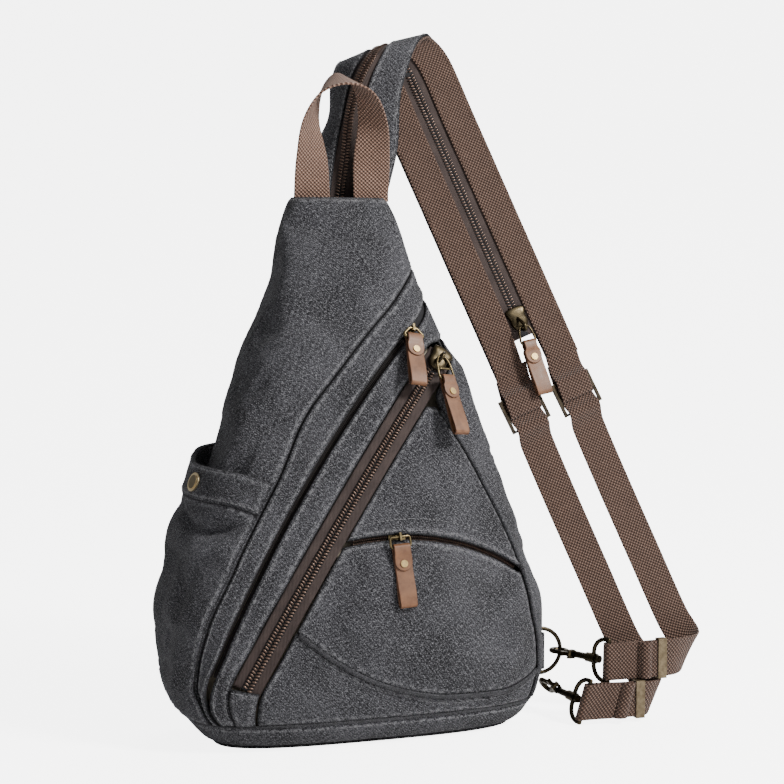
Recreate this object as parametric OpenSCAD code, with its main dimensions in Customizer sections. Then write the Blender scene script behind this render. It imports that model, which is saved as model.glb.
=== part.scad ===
// Sling bag: teardrop canvas body, two curved front zips, a zipped front pocket, a snapped
// side pocket, a haul loop and a split shoulder strap held to a D-ring by two swivel
// trigger hooks.
// Frame: millimetres, origin at the centre of the base's underside, +Z up, decorated front
// face towards -Y, back panel towards +Y, +X to the right as seen from the front.

/* [Fabric] */
// Canvas sheet thickness
canvas = 1.4; // [0.8:0.1:2.5]
// Webbing thickness
webbing = 1.4; // [1:0.1:2.5]
// Webbing width
webbing_width = 25; // [20:1:40]
// Half of the gap left between neighbouring panels
half_gap = 0.25; // [0.15:0.05:0.5]
// Cord radius of the piped side seam
cord_radius = 1.3; // [0.8:0.1:2]
// Depth of the lining under the outer face
lining_depth = 8; // [6:0.5:12]

/* [Front zip, exposed] */
// Radius of the zip's arc
front_zip_radius = 525.61; // [400:1:700]
// Half width of the visible tape
front_zip_half = 9.4; // [6:0.2:14]
// Lean of the tape about the arc
front_zip_lean = -18; // [-30:1:0]

/* [Main zip, under the storm flap] */
// Radius of the zip's arc
main_zip_radius = 443.19; // [350:1:600]
// Half width of the open groove
groove = 1.5; // [1.2:0.1:2.5]
// Lean of the tape about the arc
main_zip_lean = -28; // [-40:1:0]

/* [Pocket zip] */
// Radius of the zip's arc
pocket_zip_radius = 154.9; // [120:1:220]
// Lean of the tape about the arc
pocket_zip_lean = 56; // [40:1:70]

/* [Strap] */
// Full width of the zipped part of the strap
strap_width = 65.6; // [50:1:80]
// Half width of the strap's zip tape
strap_zip_half = 7.4; // [5:0.2:10]

/* [Hardware] */
// Wire radius of the D-ring
dring_wire = 1.4; // [1:0.1:2.5]
// Nominal radius of the D-ring
dring_radius = 15.5; // [12:0.5:20]
// Wire radius of the swivel eyes
eye_wire = 1.5; // [1:0.1:2]
// Leather pull width
pull_width = 12; // [8:0.5:18]

/* [Hidden] */
$fn = 48;

CANVAS = [0.26, 0.28, 0.31];
WEB = [0.45, 0.30, 0.22];
TAPE = [0.16, 0.10, 0.08];
METAL = [0.42, 0.34, 0.20];
LEATHER = [0.50, 0.30, 0.16];

// ---- Smooth monotone interpolation of a table by its first column ----
function gap(table, i) = table[i+1][0] - table[i][0];
function slope(table, i, col) = (table[i+1][col] - table[i][col])/gap(table, i);
function tangent(table, i, col) =
  i <= 0 ? slope(table, 0, col) :
  i >= len(table)-1 ? slope(table, len(table)-2, col) :
  let (before = slope(table, i-1, col), after = slope(table, i, col))
  before*after <= 0 ? 0 :
  let (p = 2*gap(table, i) + gap(table, i-1), q = gap(table, i) + 2*gap(table, i-1))
  (p+q)/(p/before + q/after);
function segment(table, x, i=0) =
  i >= len(table)-2 ? len(table)-2 : x < table[i+1][0] ? i : segment(table, x, i+1);
function read(table, at, col=1) =
  let (x = min(max(at, table[0][0]), table[len(table)-1][0]), i = segment(table, x),
    h = gap(table, i), t = (x - table[i][0])/h, t2 = t*t, t3 = t2*t)
  (2*t3 - 3*t2 + 1)*table[i][col] + (t3 - 2*t2 + t)*h*tangent(table, i, col)
  + (3*t2 - 2*t3)*table[i+1][col] + (t3 - t2)*h*tangent(table, i+1, col);

function lerp(a, b, t) = a + (b-a)*t;
function unit(v) = v/norm(v);
function line(a, b, n) = [for (i=[0:n]) lerp(a, b, i/n)];
function with_ends(row, first, last) =
  [for (i=[0:len(row)-1]) i == 0 ? first : i == len(row)-1 ? last : row[i]];

// ---- Body surface ----
// columns: z, half width, front y, back y
body_profile = [
  [0, 98, -44, 22], [6, 107, -54, 35], [14, 113.5, -59, 42], [26, 119.5, -62, 46],
  [44, 124, -63, 49], [76, 123.7, -60, 50], [116, 113, -54, 50], [176, 92.1, -38, 50],
  [236, 71.8, -18, 50], [296, 48.3, 3, 50], [336, 37, 18, 50], [348, 32.2, 24, 50]];
body_top = 348;
// superellipse powers of the front and back halves
front_power = 3;
back_power = 5;

// [half width, centre y, half depth] at height z, inset by depth
function section(z, depth=0) =
  let (front = read(body_profile, z, 2) + depth, back = read(body_profile, z, 3) - depth)
  [read(body_profile, z) - depth, (front+back)/2, (back-front)/2];
// point at a bearing (0 front, +90 right); factor scales it out from the axis
function skin(bearing, z, depth=0, factor=1) =
  let (c = section(z, depth), sn = sin(bearing), cs = cos(bearing),
    power = cs >= 0 ? front_power : back_power,
    r = factor/pow(pow(abs(sn), power) + pow(abs(cs), power), 1/power))
  [c[0]*r*sn, c[1] - c[2]*r*cs, z];
// inverse: the [z, bearing, factor] of a point in space
function locate(point) =
  let (c = section(point[2]), x = point[0]/c[0], y = (c[1]-point[1])/c[2],
    power = y >= 0 ? front_power : back_power)
  [point[2], atan2(x, y), pow(pow(abs(x), power) + pow(abs(y), power), 1/power)];
function ring(z, depth, step=10) = [for (k=[0:step:359]) skin(k, z, depth)];
function outline(z, depth, step) = [for (p=ring(z, depth, step)) [p[0], p[1]]];

// ---- Arcs of the three body zips: [centre, axis, start, radius, lean] ----
main_arc = [[180.02, 273.07, -53.24], unit([-0.6527, 0.689, 0.315]), [48.5, 1.9, 272],
  main_zip_radius, main_zip_lean];
front_arc = [[125.8, 412.7, -61.37], unit([-0.7695, 0.4525, 0.4507]), [50.1, -12.1, 239.7],
  front_zip_radius, front_zip_lean];
pocket_arc = [[8.8, -0.9, -15], unit([0, -0.945, -0.328]), [12, -51, 130],
  pocket_zip_radius, pocket_zip_lean];

function arc_start(arc) = let (v = arc[2]-arc[0]) unit(v - arc[1]*(v*arc[1]));
// point at an angle along the arc, moved across the tape and out of it
function arc_point(arc, angle, across=0, out=0) =
  let (axis = arc[1], start = arc_start(arc), lean = arc[4],
    r = start*cos(angle) + cross(axis, start)*sin(angle))
  arc[0] + r*arc[3] + (axis*cos(lean) - r*sin(lean))*across
  + (r*cos(lean) + axis*sin(lean))*out;
function arc_out(arc, angle) = arc_point(arc, angle, 0, 1) - arc_point(arc, angle);
function arc_along(arc, angle) = arc_point(arc, angle+0.5) - arc_point(arc, angle-0.5);

// ---- Seam curves: [z, bearing, factor] ----
base_z = 17.6; // height of the base seam
// between the upper panel and the flap strip, over the top to the back
upper_seam = [
  [base_z, -56.5, 1], [28, -58.2, 1], [40, -59.6, 1], [55, -58.1, 1], [81, -52.7, 1],
  [101, -49, 1], [123, -45.6, 1], [148, -40.9, 1], [170, -36.2, 1], [200, -30.4, 1],
  [214, -25.5, 1], [228, -17.8, 1], [244, -7.3, 1], [260, 6.1, 1], [274, 21, 1],
  [295, 48.7, 1], [306, 90, 1], [312, 141, 1], [348, 141.5, 1]];
function main_zip_seam(across) = concat(
  [[base_z, -52.5-across*0.5, 1.02], [28, -53-across*0.5, 1.04]],
  [for (angle=[-37:3:-1]) locate(arc_point(main_arc, angle, across))],
  [[280+across*0.8, 66-across*0.9, 1], [285.5+across, 90-across*0.5, 1],
   [290+across, 141, 1]]);
front_zip_edge = front_zip_half + 0.35;
front_zip_angles = [for (angle=[-27:3:0]) angle];
// upper left and lower right edges of the front zip
zip_left_seam = concat(
  [[base_z, -46.4, 1], [30, -45.6, 1.02]],
  [for (angle=concat(front_zip_angles, [1]))
    locate(arc_point(front_arc, angle, front_zip_edge))],
  [[254, 60, 1], [259, 90, 1], [264, 141, 1]]);
zip_right_seam = concat(
  [[base_z, -39.2, 1], [26, -38.2, 1]],
  [for (angle=concat(front_zip_angles, [0.6]))
    locate(arc_point(front_arc, angle, -front_zip_edge))],
  [[246, 57, 1.02], [251.5, 64, 1], [257, 90, 1], [260, 118, 1]]);
// between the front panels and the right gusset
side_seam = [
  [base_z, 56, 1], [24, 56, 1], [40, 54.3, 1], [57, 53.9, 1], [81, 50.5, 1],
  [107, 50.3, 1], [132, 48.1, 1], [152, 45.5, 1], [177, 41.7, 1], [194, 37.9, 1],
  [206, 34.6, 1], [214, 31.5, 1]];
// left edge of the right gusset: the side seam, then the front zip's edge
gusset_seam = concat(
  [for (i=[0:10]) side_seam[i]], [[217, 33.6, 1.01]],
  [for (z=[226, 233, 240, 246]) [z, read(zip_right_seam, z, 1), read(zip_right_seam, z, 2)]],
  [[251.5, 64, 1], [257, 90, 1], [260, 118, 1]]);
// between the pocket and toe panels: fraction of the run, bearing, z
toe_seam = [
  [0, -26, 76.5], [0.125, -22.3, 69], [0.25, -14.1, 55], [0.375, -5.4, 44], [0.5, 3.9, 36],
  [0.625, 19.7, 29], [0.75, 36.4, 28], [0.875, 46.8, 33], [1, 54.3, 39.2]];
back_bearing = 142; // side edges of the back panel
edge_turn = 0.3; // bearing kept clear at the back edges

// Panel edges are lists of spots [bearing, z, factor]. Side is -1 for the panel on the
// upper left of the seam, +1 for the lower right and 0 for no gap.
degree = 0.0175; // rounded radians in a degree
function gap_turn(z, side) = side*half_gap/(degree*read(body_profile, z));
function spot_at_height(seam, z, side) =
  [read(seam, z, 1) + gap_turn(z, side), z, read(seam, z, 2)];
function height_run(seam, z0, z1, m, side) =
  [for (j=[0:m]) spot_at_height(seam, lerp(z0, z1, j/m), side)];
// t is the fraction of the seam's stations passed
function spot_at(seam, t, side) =
  let (last = len(seam)-1,
    by_index = [for (i=[0:last]) [i/last, seam[i][1], seam[i][0], seam[i][2]]],
    z = read(by_index, t, 2))
  [read(by_index, t, 1) + gap_turn(z, side), z - side*half_gap, read(by_index, t, 3)];
// samples along a seam, the first one brought to the base seam
function seam_run(seam, m, side, part=1) =
  [for (j=[0:m]) let (spot = spot_at(seam, j/m*part, side))
    j == 0 ? [spot[0], base_z, spot[2]] : spot];
function toe_run(n, rise) =
  [for (i=[0:n]) [read(toe_seam, i/n, 1), read(toe_seam, i/n, 2) + rise, 1]];

// ---- Mesh builders ----
// Coons patch between four edges; left and right run up, bottom and top run right
function patch(left, right, bottom, top) =
  let (n = len(bottom)-1, m = len(left)-1)
  [for (i=[0:n]) let (s = i/n) [for (j=[0:m]) let (t = j/m)
    (1-s)*left[j] + s*right[j] + (1-t)*bottom[i] + t*top[i]
    - ((1-s)*(1-t)*bottom[0] + s*(1-t)*bottom[n] + (1-s)*t*top[0] + s*t*top[n])]];

// sheet between two grids of points [i][j]; i left to right, j upwards
module sheet(outer, inner) {
  n = len(outer)-1;
  m = len(outer[0])-1;
  function id(k, i, j) = k*(n+1)*(m+1) + i*(m+1) + j;
  points = [for (grid=[outer, inner], column=grid) each column];
  faces = concat(
    [for (i=[0:n-1], j=[0:m-1]) each [
      [id(0,i,j), id(0,i,j+1), id(0,i+1,j+1)], [id(0,i,j), id(0,i+1,j+1), id(0,i+1,j)],
      [id(1,i,j), id(1,i+1,j+1), id(1,i,j+1)], [id(1,i,j), id(1,i+1,j), id(1,i+1,j+1)]]],
    [for (i=[0:n-1]) each [
      [id(0,i,0), id(0,i+1,0), id(1,i+1,0)], [id(0,i,0), id(1,i+1,0), id(1,i,0)],
      [id(0,i,m), id(1,i+1,m), id(0,i+1,m)], [id(0,i,m), id(1,i,m), id(1,i+1,m)]]],
    [for (j=[0:m-1]) each [
      [id(0,0,j), id(1,0,j+1), id(0,0,j+1)], [id(0,0,j), id(1,0,j), id(1,0,j+1)],
      [id(0,n,j), id(0,n,j+1), id(1,n,j+1)], [id(0,n,j), id(1,n,j+1), id(1,n,j)]]]);
  polyhedron(points, faces, convexity=8);
}

// loft through closed rings of points
module loft(rings) {
  n = len(rings)-1;
  m = len(rings[0]);
  faces = concat(
    [for (k=[0:n-1], j=[0:m-1]) let (b = (j+1)%m)
      each [[k*m+j, (k+1)*m+j, (k+1)*m+b], [k*m+j, (k+1)*m+b, k*m+b]]],
    [for (j=[1:m-2]) [0, j, j+1]],
    [for (j=[1:m-2]) [n*m, n*m+j+1, n*m+j]]);
  polyhedron([for (r=rings) each r], faces, convexity=8);
}

// flat strip through four-point rings; both broad faces split along the same diagonal
module strip(rings) {
  n = len(rings)-1;
  faces = concat(
    [for (k=[0:n-1], j=[0:3]) let (b = (j+1)%4, p = k*4, q = p+4) each (j == 2
      ? [[p+j, q+j, p+b], [q+j, q+b, p+b]]
      : [[p+j, q+j, q+b], [p+j, q+b, p+b]])],
    [[0, 1, 2], [0, 2, 3]],
    [[n*4, n*4+2, n*4+1], [n*4, n*4+3, n*4+2]]);
  polyhedron([for (r=rings) each r], faces, convexity=8);
}

// canvas panel on the body between four edges, from depth outer to depth inner
module panel(left, right, bottom, top, outer=0, inner=canvas) {
  grid = patch(left, right, bottom, top);
  function at_depth(depth) =
    [for (column=grid) [for (q=column) skin(q[0], q[1], depth, q[2])]];
  sheet(at_depth(outer), at_depth(inner));
}
// panel with straight bottom and top edges
module band_panel(left, right, n) {
  m = len(left)-1;
  panel(left, right, line(left[0], right[0], n), line(left[m], right[m], n));
}

// six-sided rings along a path
function tube_rings(path, r) = let (n = len(path)-1)
  [for (i=[0:n]) let (t = unit(path[min(i+1, n)] - path[max(i-1, 0)]),
    u = unit(cross(t, abs(t[2]) < 0.8 ? [0, 0, 1] : [1, 0, 0])), v = cross(t, u))
    [for (k=[0:5]) path[i] + r*(u*cos(60*k) + v*sin(60*k))]];
// rings through pairs of edge points, with faces at offsets low < high along the normal;
// from and to pick part of the width
function strip_rings(pairs, low, high, from=0, to=1) = let (n = len(pairs)-1)
  [for (i=[0:n]) let (a = pairs[i][0], across = pairs[i][1] - a,
    next = pairs[min(i+1, n)], last = pairs[max(i-1, 0)],
    normal = unit(cross(next[0] + next[1] - last[0] - last[1], across)),
    p = a + across*from, q = a + across*to)
    [p + normal*low, q + normal*low, q + normal*high, p + normal*high]];
// Catmull-Rom refinement, k steps to a span
function spline(a, b, c, d, t) =
  0.5*((2*b) + (c-a)*t + (2*a - 5*b + 4*c - d)*t*t + (3*b - a - 3*c + d)*t*t*t);
function smooth(rows, k) = let (n = len(rows)-1) concat(
  [for (i=[0:n-1], j=[0:k-1])
    spline(rows[max(i-1, 0)], rows[i], rows[i+1], rows[min(i+2, n)], j/k)],
  [rows[n]]);
module webbing_strip(pairs, k)
  strip(strip_rings(smooth(pairs, k), -webbing/2, webbing/2));

// children placed at an origin, with the given Z and the X nearest the given one
module frame(origin, x, z) {
  az = unit(z);
  ax = unit(x - az*(x*az));
  ay = cross(az, ax);
  multmatrix([
    [ax[0], ay[0], az[0], origin[0]],
    [ax[1], ay[1], az[1], origin[1]],
    [ax[2], ay[2], az[2], origin[2]],
    [0, 0, 0, 1]]) children();
}
// block centred in X and Y with its bottom at a height
module block(size, bottom) translate([-size[0]/2, -size[1]/2, bottom]) cube(size);
// rod along +X
module rod(x, r, h, y=0) translate([x, y, 0]) rotate([0, 90, 0]) cylinder(r=r, h=h);

// ---- Body panels ----
seam_steps = 34; // samples along the long curved seams

module back_panel() color(CANVAS) {
  turn = back_bearing + edge_turn;
  top = 347.4;
  band_panel(line([turn, base_z, 1], [turn, top, 1], 16),
    line([360-turn, base_z, 1], [360-turn, top, 1], 16), 8);
}

// right half of the padding's outline: x, z
padding_half = [[72, 64], [70, 105], [52, 185], [34, 255], [27, 290], [20, 325]];
module back_padding() color([0.8, 0.8, 0.78])
  translate([0, 47, 0]) rotate([90, 0, 0]) linear_extrude(3.4)
    polygon(concat(padding_half,
      [for (i=[len(padding_half)-1:-1:0]) [-padding_half[i][0], padding_half[i][1]]]));

module upper_panel() color(CANVAS) {
  m = seam_steps + 2;
  turn = -back_bearing + edge_turn;
  run = seam_run(upper_seam, m, -1);
  band_panel(line([turn, base_z, 1], [turn, body_top, 1], m),
    with_ends(run, run[0], [141.5, body_top, 1]), 18);
  // cap closing the top
  translate([0, 0, body_top-1.4]) linear_extrude(1.4) polygon(outline(347.3, 1.7, 5));
}

module flap_strip() color(CANVAS) {
  run = seam_run(upper_seam, seam_steps, 1, 17/18); // stops one station short
  band_panel(with_ends(run, [upper_seam[0][1]+0.15, base_z, 1], run[seam_steps]),
    seam_run(main_zip_seam(groove), seam_steps, -1), 2);
}

module centre_strip() color(CANVAS)
  band_panel(seam_run(main_zip_seam(-groove), seam_steps, 1),
    seam_run(zip_left_seam, seam_steps, 0), 3);

// edge along the pocket zip, left to right
pocket_zip_left = 13;
pocket_zip_right = -34.6;
pocket_edge = groove + 0.05;
pocket_columns = 12;
function pocket_run(left_angle, across) =
  [for (i=[0:pocket_columns])
    let (angle = lerp(left_angle, pocket_zip_right, i/pocket_columns),
      p = locate(arc_point(pocket_arc, angle, across)))
    [p[1], p[0], p[2]]];

module front_panel() color(CANVAS) {
  n = pocket_columns;
  m = 8;
  top = 211.5;
  bottom = pocket_run(pocket_zip_left, -pocket_edge);
  left = height_run(zip_right_seam, bottom[0][1], top, m, 0);
  right = height_run(side_seam, bottom[n][1], top, m, -1);
  panel(left, right, with_ends(bottom, left[0], right[0]), line(left[m], right[m], n));
}

module pocket_panel() color(CANVAS) {
  n = pocket_columns;
  m = 7;
  top = pocket_run(pocket_zip_left+0.2, pocket_edge);
  bottom = toe_run(n, 0.35);
  left = height_run(zip_right_seam, bottom[0][1], top[0][1], m, 0);
  right = height_run(side_seam, bottom[n][1], top[n][1], m, -3);
  panel(left, right, with_ends(bottom, left[0], right[0]),
    with_ends(top, left[m], right[m]));
}

module toe_panel() color(CANVAS) {
  n = pocket_columns;
  m = 4;
  top = toe_run(n, -0.35);
  left = height_run(zip_right_seam, base_z, top[0][1], m, 0);
  right = height_run(side_seam, base_z, top[n][1], m, -1);
  panel(left, right, line(left[0], right[0], n), with_ends(top, left[m], right[m]));
}

module right_gusset() color(CANVAS) {
  m = 26;
  turn = back_bearing - edge_turn;
  band_panel(seam_run(gusset_seam, m, 1),
    line([turn, base_z, 1], [turn, 261.5, 1], m), 7);
}

// tab across the foot of the front zip, on the outside of the skin
module zip_tab() color(CANVAS) {
  n = 2;
  inset = [0.3, 0, 0];
  left = [for (q=height_run(zip_left_seam, base_z, 43, n, 0)) q + inset];
  right = [for (q=height_run(zip_right_seam, base_z, 39, n, 0)) q - inset];
  panel(left, right, line(left[0], right[0], n), line(left[n], right[n], n), -canvas, 0);
}

module base_panel() color(CANVAS) {
  heights = [3, 6, 10, 13.5, base_z-0.5];
  loft(concat([for (z=concat([canvas-0.01], heights)) ring(z, 0)],
    [for (i=[4:-1:0]) ring(heights[i], canvas)], [ring(canvas+0.3, canvas)]));
  linear_extrude(canvas) polygon(outline(0, 0, 10));
}

module base_board() color([0.2, 0.2, 0.2])
  translate([0, 0, 2.2]) linear_extrude(2) polygon(outline(0, 6, 5));

// ---- Side pocket ----
// how far the pocket stands off the body; fullest at bearing -100, growing with height
function bulge(bearing, z) =
  let (around = exp(-pow((bearing+100)/32, 2)), t = min(max((z-60)/110, 0), 1))
  0.6 + around*(1.6 + 8.6*t*t*(3-2*t));
function pocket_skin(q, out) = skin(q[0], q[1], -bulge(q[0], q[1])-out);
pocket_back = -141; // bearing of the pocket's rear edge
band_thickness = 2.6;
// lower and upper edges of the band at the mouth: bearing, z
mouth_low = [[-141, 159], [-112, 156.5], [-85, 155], [-59, 153.6], [-45.3, 150],
  [-40.8, 146.5]];
mouth_high = [[-141, 186], [-120, 183], [-98, 177.5], [-55, 174], [-42, 170], [-37, 167]];
function mouth_run(mouth, end, rise) =
  [for (i=[0:10]) let (x = lerp(pocket_back, end, i/10)) [x, read(mouth, x)+rise, 1]];

module pocket_sheet(left, right, bottom, top, thickness) {
  grid = patch(left, right, bottom, top);
  function standing(out) = [for (column=grid) [for (q=column) pocket_skin(q, out)]];
  sheet(standing(thickness), standing(0));
}

module side_pocket() color(CANVAS) {
  n = 10;
  top = mouth_run(mouth_low, -41.2, -0.3);
  left = line([pocket_back, base_z, 1], top[0], n);
  right = [for (q=height_run(upper_seam, base_z, top[n][1], n, -1)) q - [0.4, 0, 0]];
  pocket_sheet(left, right, line(left[0], right[0], n),
    with_ends(top, top[0], right[n]), canvas);
}

module side_pocket_band() color(CANVAS) {
  bottom = mouth_run(mouth_low, -41.2, 0.3);
  top = mouth_run(mouth_high, -37.6, 0);
  pocket_sheet(line(bottom[0], top[0], 3), line(bottom[10], top[10], 3),
    bottom, top, band_thickness);
}

// ---- Lining, piping and D-ring tab ----
// the lining lies deeper in the upper body
function lining_at(z) = lining_depth + 4*min(max((z-180)/50, 0), 1);
module lining() color([0.62, 0.58, 0.50]) {
  heights = line(9, 336, 14);
  loft(concat([for (z=heights) ring(z, lining_at(z), 12)],
    [for (i=[14:-1:1]) ring(heights[i], lining_at(heights[i])+1, 12)],
    [ring(10, lining_depth+1, 12)]));
}

module piping() color(CANVAS) {
  loft(tube_rings([for (q=height_run(side_seam, 20, 209, 20, 0))
    skin(q[0], q[1], -cord_radius-0.3, q[2])], cord_radius));
  loft(tube_rings([for (s=line(0.045, 0.97, 18))
    skin(read(toe_seam, s, 1), read(toe_seam, s, 2), -1.7)], 1.4));
}

dring_centre = [128.2, -9, 42.1];
module dring_tab() color(CANVAS)
  translate([0, 0, dring_centre[2]-webbing_width/2]) linear_extrude(webbing_width)
    difference() {
      union() {
        translate([124.35, -13]) square([1, 8]);
        translate([dring_centre[0], dring_centre[1]]) circle(r=3.4);
        translate([124.6, -10.6]) square([3, 3.2]);
      }
      translate([dring_centre[0], dring_centre[1]]) circle(r=1.85);
    }

// ---- Body zips: surfaces of revolution about each arc's axis ----
module about(arc) frame(arc[0], arc_start(arc), arc[1]) children();
// across and out are [low, high] ranges of the band's section
module arc_band(arc, from, to, across, out) {
  lean = arc[4];
  rotate([0, 0, from]) rotate_extrude(angle=to-from, $fn=720)
    polygon([for (c=[[across[0], out[0]], [across[1], out[0]],
        [across[1], out[1]], [across[0], out[1]]])
      [arc[3] - sin(lean)*c[0] + cos(lean)*c[1], cos(lean)*c[0] + sin(lean)*c[1]]]);
}
module sunk_tapes(arc, from, to)
  for (across=[[0.2, 4.6], [-4.6, -0.2]]) arc_band(arc, from, to, across, [-5.4, -4.6]);
module sunk_coil(arc, from, to) arc_band(arc, from, to, [-1.9, 1.9], [-4.5, -3.5]);

module main_zip_tapes() color(TAPE) about(main_arc) sunk_tapes(main_arc, -36.4, -0.9);
module main_zip_coil() color(METAL) about(main_arc) sunk_coil(main_arc, -36.2, -3.4);
module front_zip_tapes() color(TAPE) about(front_arc) {
  arc_band(front_arc, -27.1, 0.9, [0.2, front_zip_half-0.8], [-1.5, -0.7]);
  arc_band(front_arc, -27.3, 0.2, [0.9-front_zip_half, -0.2], [-1.5, -0.7]);
}
module front_zip_coil() color(METAL) about(front_arc)
  arc_band(front_arc, -26.2, -0.9, [-2.7, 2.7], [-0.5, 0.9]);
module pocket_zip_tapes() color(TAPE) about(pocket_arc)
  sunk_tapes(pocket_arc, -33.6, 11.6);
// the coil is broken where the slider sits
module pocket_zip_coil() color(METAL) about(pocket_arc) {
  sunk_coil(pocket_arc, -33.4, -1.6);
  sunk_coil(pocket_arc, 2.6, 11.4);
}

// ---- Strap frame: x across, y up the strap, z off its front face ----
strap_origin = [127.52, 30.79, 265.45];
strap_x = unit([0.9378, 0.0826, 0.3372]);
strap_y = unit([-0.3472, 0.2232, 0.9109]);
strap_z = cross(strap_x, strap_y);
function on_strap(x, y, z=0) = strap_origin + strap_x*x + strap_y*y + strap_z*z;

// ---- Sliders, links, leather pulls and rivets ----
main_angle = -2.4; // places of the sliders on their arcs
front_angle = 0.35;
pocket_angle = 0.4;
// hangers: [eye centre, pull tip, outward direction, link length]
main_hanger = [arc_point(main_arc, main_angle, 0, 3.5),
  [31.5, -35, 220.9], [0.122, -0.934, 0.335], 8];
front_hanger = [arc_point(front_arc, front_angle, 0, 5.1),
  [57.6, -40.8, 197.2], [0.322, -0.876, 0.36], 17];
pocket_hanger = [arc_point(pocket_arc, pocket_angle, 0, 3.4),
  [13.6, -64, 90], [0.004, -0.986, 0.169], 8.5];
strap_hanger = [on_strap(-1, -6.5, 7.2), on_strap(-9, -56, 11), strap_z, 14];
link_wire = 1.5;
rivet_y = -10.2;

// local Y runs from the pull's tip to the eye
module at_eye(hanger, out) {
  y = unit(hanger[0] - hanger[1]);
  z = unit(out - y*(out*y));
  frame(hanger[0], cross(y, z), z) children();
}
module at_pull(hanger) at_eye(hanger, hanger[2])
  translate([0, link_wire-hanger[3], 0]) children();
module on_arc(arc, angle)
  frame(arc_point(arc, angle), arc_along(arc, angle), arc_out(arc, angle)) children();

// eye reaching down to the slider plate, bored along X
module eye_block(drop, width, length) difference() {
  block([width, length, drop+2.2], -drop);
  rod(-5, 1.35, 10);
}
// slider with its plates under the panels and its neck through the groove
module sunk_slider(arc, angle, hanger, drop) {
  on_arc(arc, angle) {
    for (bottom=[-3.2, -6.6]) block([11, 8.4, 1.1], bottom);
    block([6, 1.2, 4.2], -2.2);
  }
  at_eye(hanger, arc_out(arc, angle)) eye_block(drop, 1.2, 5);
}

module main_slider() color(METAL) sunk_slider(main_arc, main_angle, main_hanger, 2.1);
module pocket_slider() color(METAL)
  sunk_slider(pocket_arc, pocket_angle, pocket_hanger, 2.0);
module front_slider() color(METAL) {
  on_arc(front_arc, front_angle) {
    difference() {
      block([13, 9.2, 3.0], -0.2);
      block([14, 6.8, 2.4], -1);
    }
    block([13, 9.2, 1.2], -3.1);
  }
  at_eye(front_hanger, arc_out(front_arc, front_angle)) eye_block(2.5, 2, 6.4);
}
module strap_slider() color(METAL) {
  frame(strap_origin, strap_x, strap_z) {
    difference() {
      block([10, 14, 3.4], 0.2);
      block([7, 16, 3.1], -1);
    }
    block([9.2, 14, 1.2], -2.6);
  }
  at_eye(strap_hanger, strap_z) eye_block(3.8, 2, 6.4);
}

// flat link with its top bar centred on the eye; barred adds a middle bar
module link(hanger, width, barred=false) {
  length = hanger[3];
  wire = link_wire;
  window = width - 2*wire;
  foot = 1.5*wire - length;
  at_eye(hanger, hanger[2]) translate([0, 0, -wire/2]) linear_extrude(wire) difference() {
    translate([-width/2, wire/2-length]) square([width, length]);
    if (barred)
      for (y=[wire-length/2, foot])
        translate([-window/2, y]) square([window, length/2-1.5*wire]);
    else
      translate([-window/2, foot]) square([window, length-2*wire]);
  }
}
module main_link() color(METAL) link(main_hanger, 9.5);
module front_link() color(METAL) link(front_hanger, 8.5, true);
module pocket_link() color(METAL) link(pocket_hanger, 15);
module strap_link() color(METAL) link(strap_hanger, 13);

// folded leather with a loop round the wire and an open loop at the bottom
module folded_leather(length)
  translate([-pull_width/2, 0, 0]) rotate([90, 0, 90]) linear_extrude(pull_width)
    difference() {
      polygon(concat(
        [for (a=[-70:14:70]) [2.9*cos(a), 2.9*sin(a)]],
        [[-8, 1.8], [-12, 1.75], [-length+7, 2.4]],
        [for (a=[90:15:270]) [-length+2.4+2.4*cos(a), 2.4*sin(a)]],
        [[-length+7, -2.4], [-12, -1.75], [-8, -1.8]]));
      circle(r=1.25);
      polygon(concat(
        [[-12, 0.12], [-length+7, 0.85]],
        [for (a=[90:15:270]) [-length+2.4+0.85*cos(a), 0.85*sin(a)]],
        [[-length+7, -0.85], [-12, -0.12]]));
    }
// drilled for the rivet and narrowed at the neck to pass the link's window
module leather_pull(hanger, length, window) at_pull(hanger) difference() {
  folded_leather(length);
  translate([0, rivet_y, 0]) cylinder(r=1.05, h=9, center=true);
  for (s=[-1, 1]) translate([s*(window/2-0.3+5), 0.9, 0]) cube([10, 8.4, 8], center=true);
}
module main_pull() color(LEATHER) leather_pull(main_hanger, 36, 6.5);
module front_pull() color(LEATHER) leather_pull(front_hanger, 40, 5.5);
module pocket_pull() color(LEATHER) leather_pull(pocket_hanger, 38, 12);
module strap_pull() color(LEATHER) leather_pull(strap_hanger, 37, 10);

module rivet(hanger) at_pull(hanger) translate([0, rivet_y, 0]) {
  cylinder(r=1, h=4.4, center=true);
  for (s=[-1, 1]) translate([0, 0, s*2.3]) cylinder(r=2.3, h=0.8, center=true);
}
module main_rivet() color(METAL) rivet(main_hanger);
module front_rivet() color(METAL) rivet(front_hanger);
module pocket_rivet() color(METAL) rivet(pocket_hanger);
module strap_rivet() color(METAL) rivet(strap_hanger);

// ---- Snap on the side pocket's band, and the haul loop ----
snap_spot = [-86, 165, 1];
function pocket_step(q, d) = pocket_skin(q+d, 0) - pocket_skin(q-d, 0);
module snap_cap() color(METAL)
  frame(pocket_skin(snap_spot, band_thickness), [0, 1, 0.1],
    cross(pocket_step(snap_spot, [1.5, 0, 0]), pocket_step(snap_spot, [0, 2, 0])))
    translate([0, 0, 0.5]) {
      cylinder(r=6.2, h=1);
      cylinder(r=4.6, h=1.5);
    }

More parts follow.
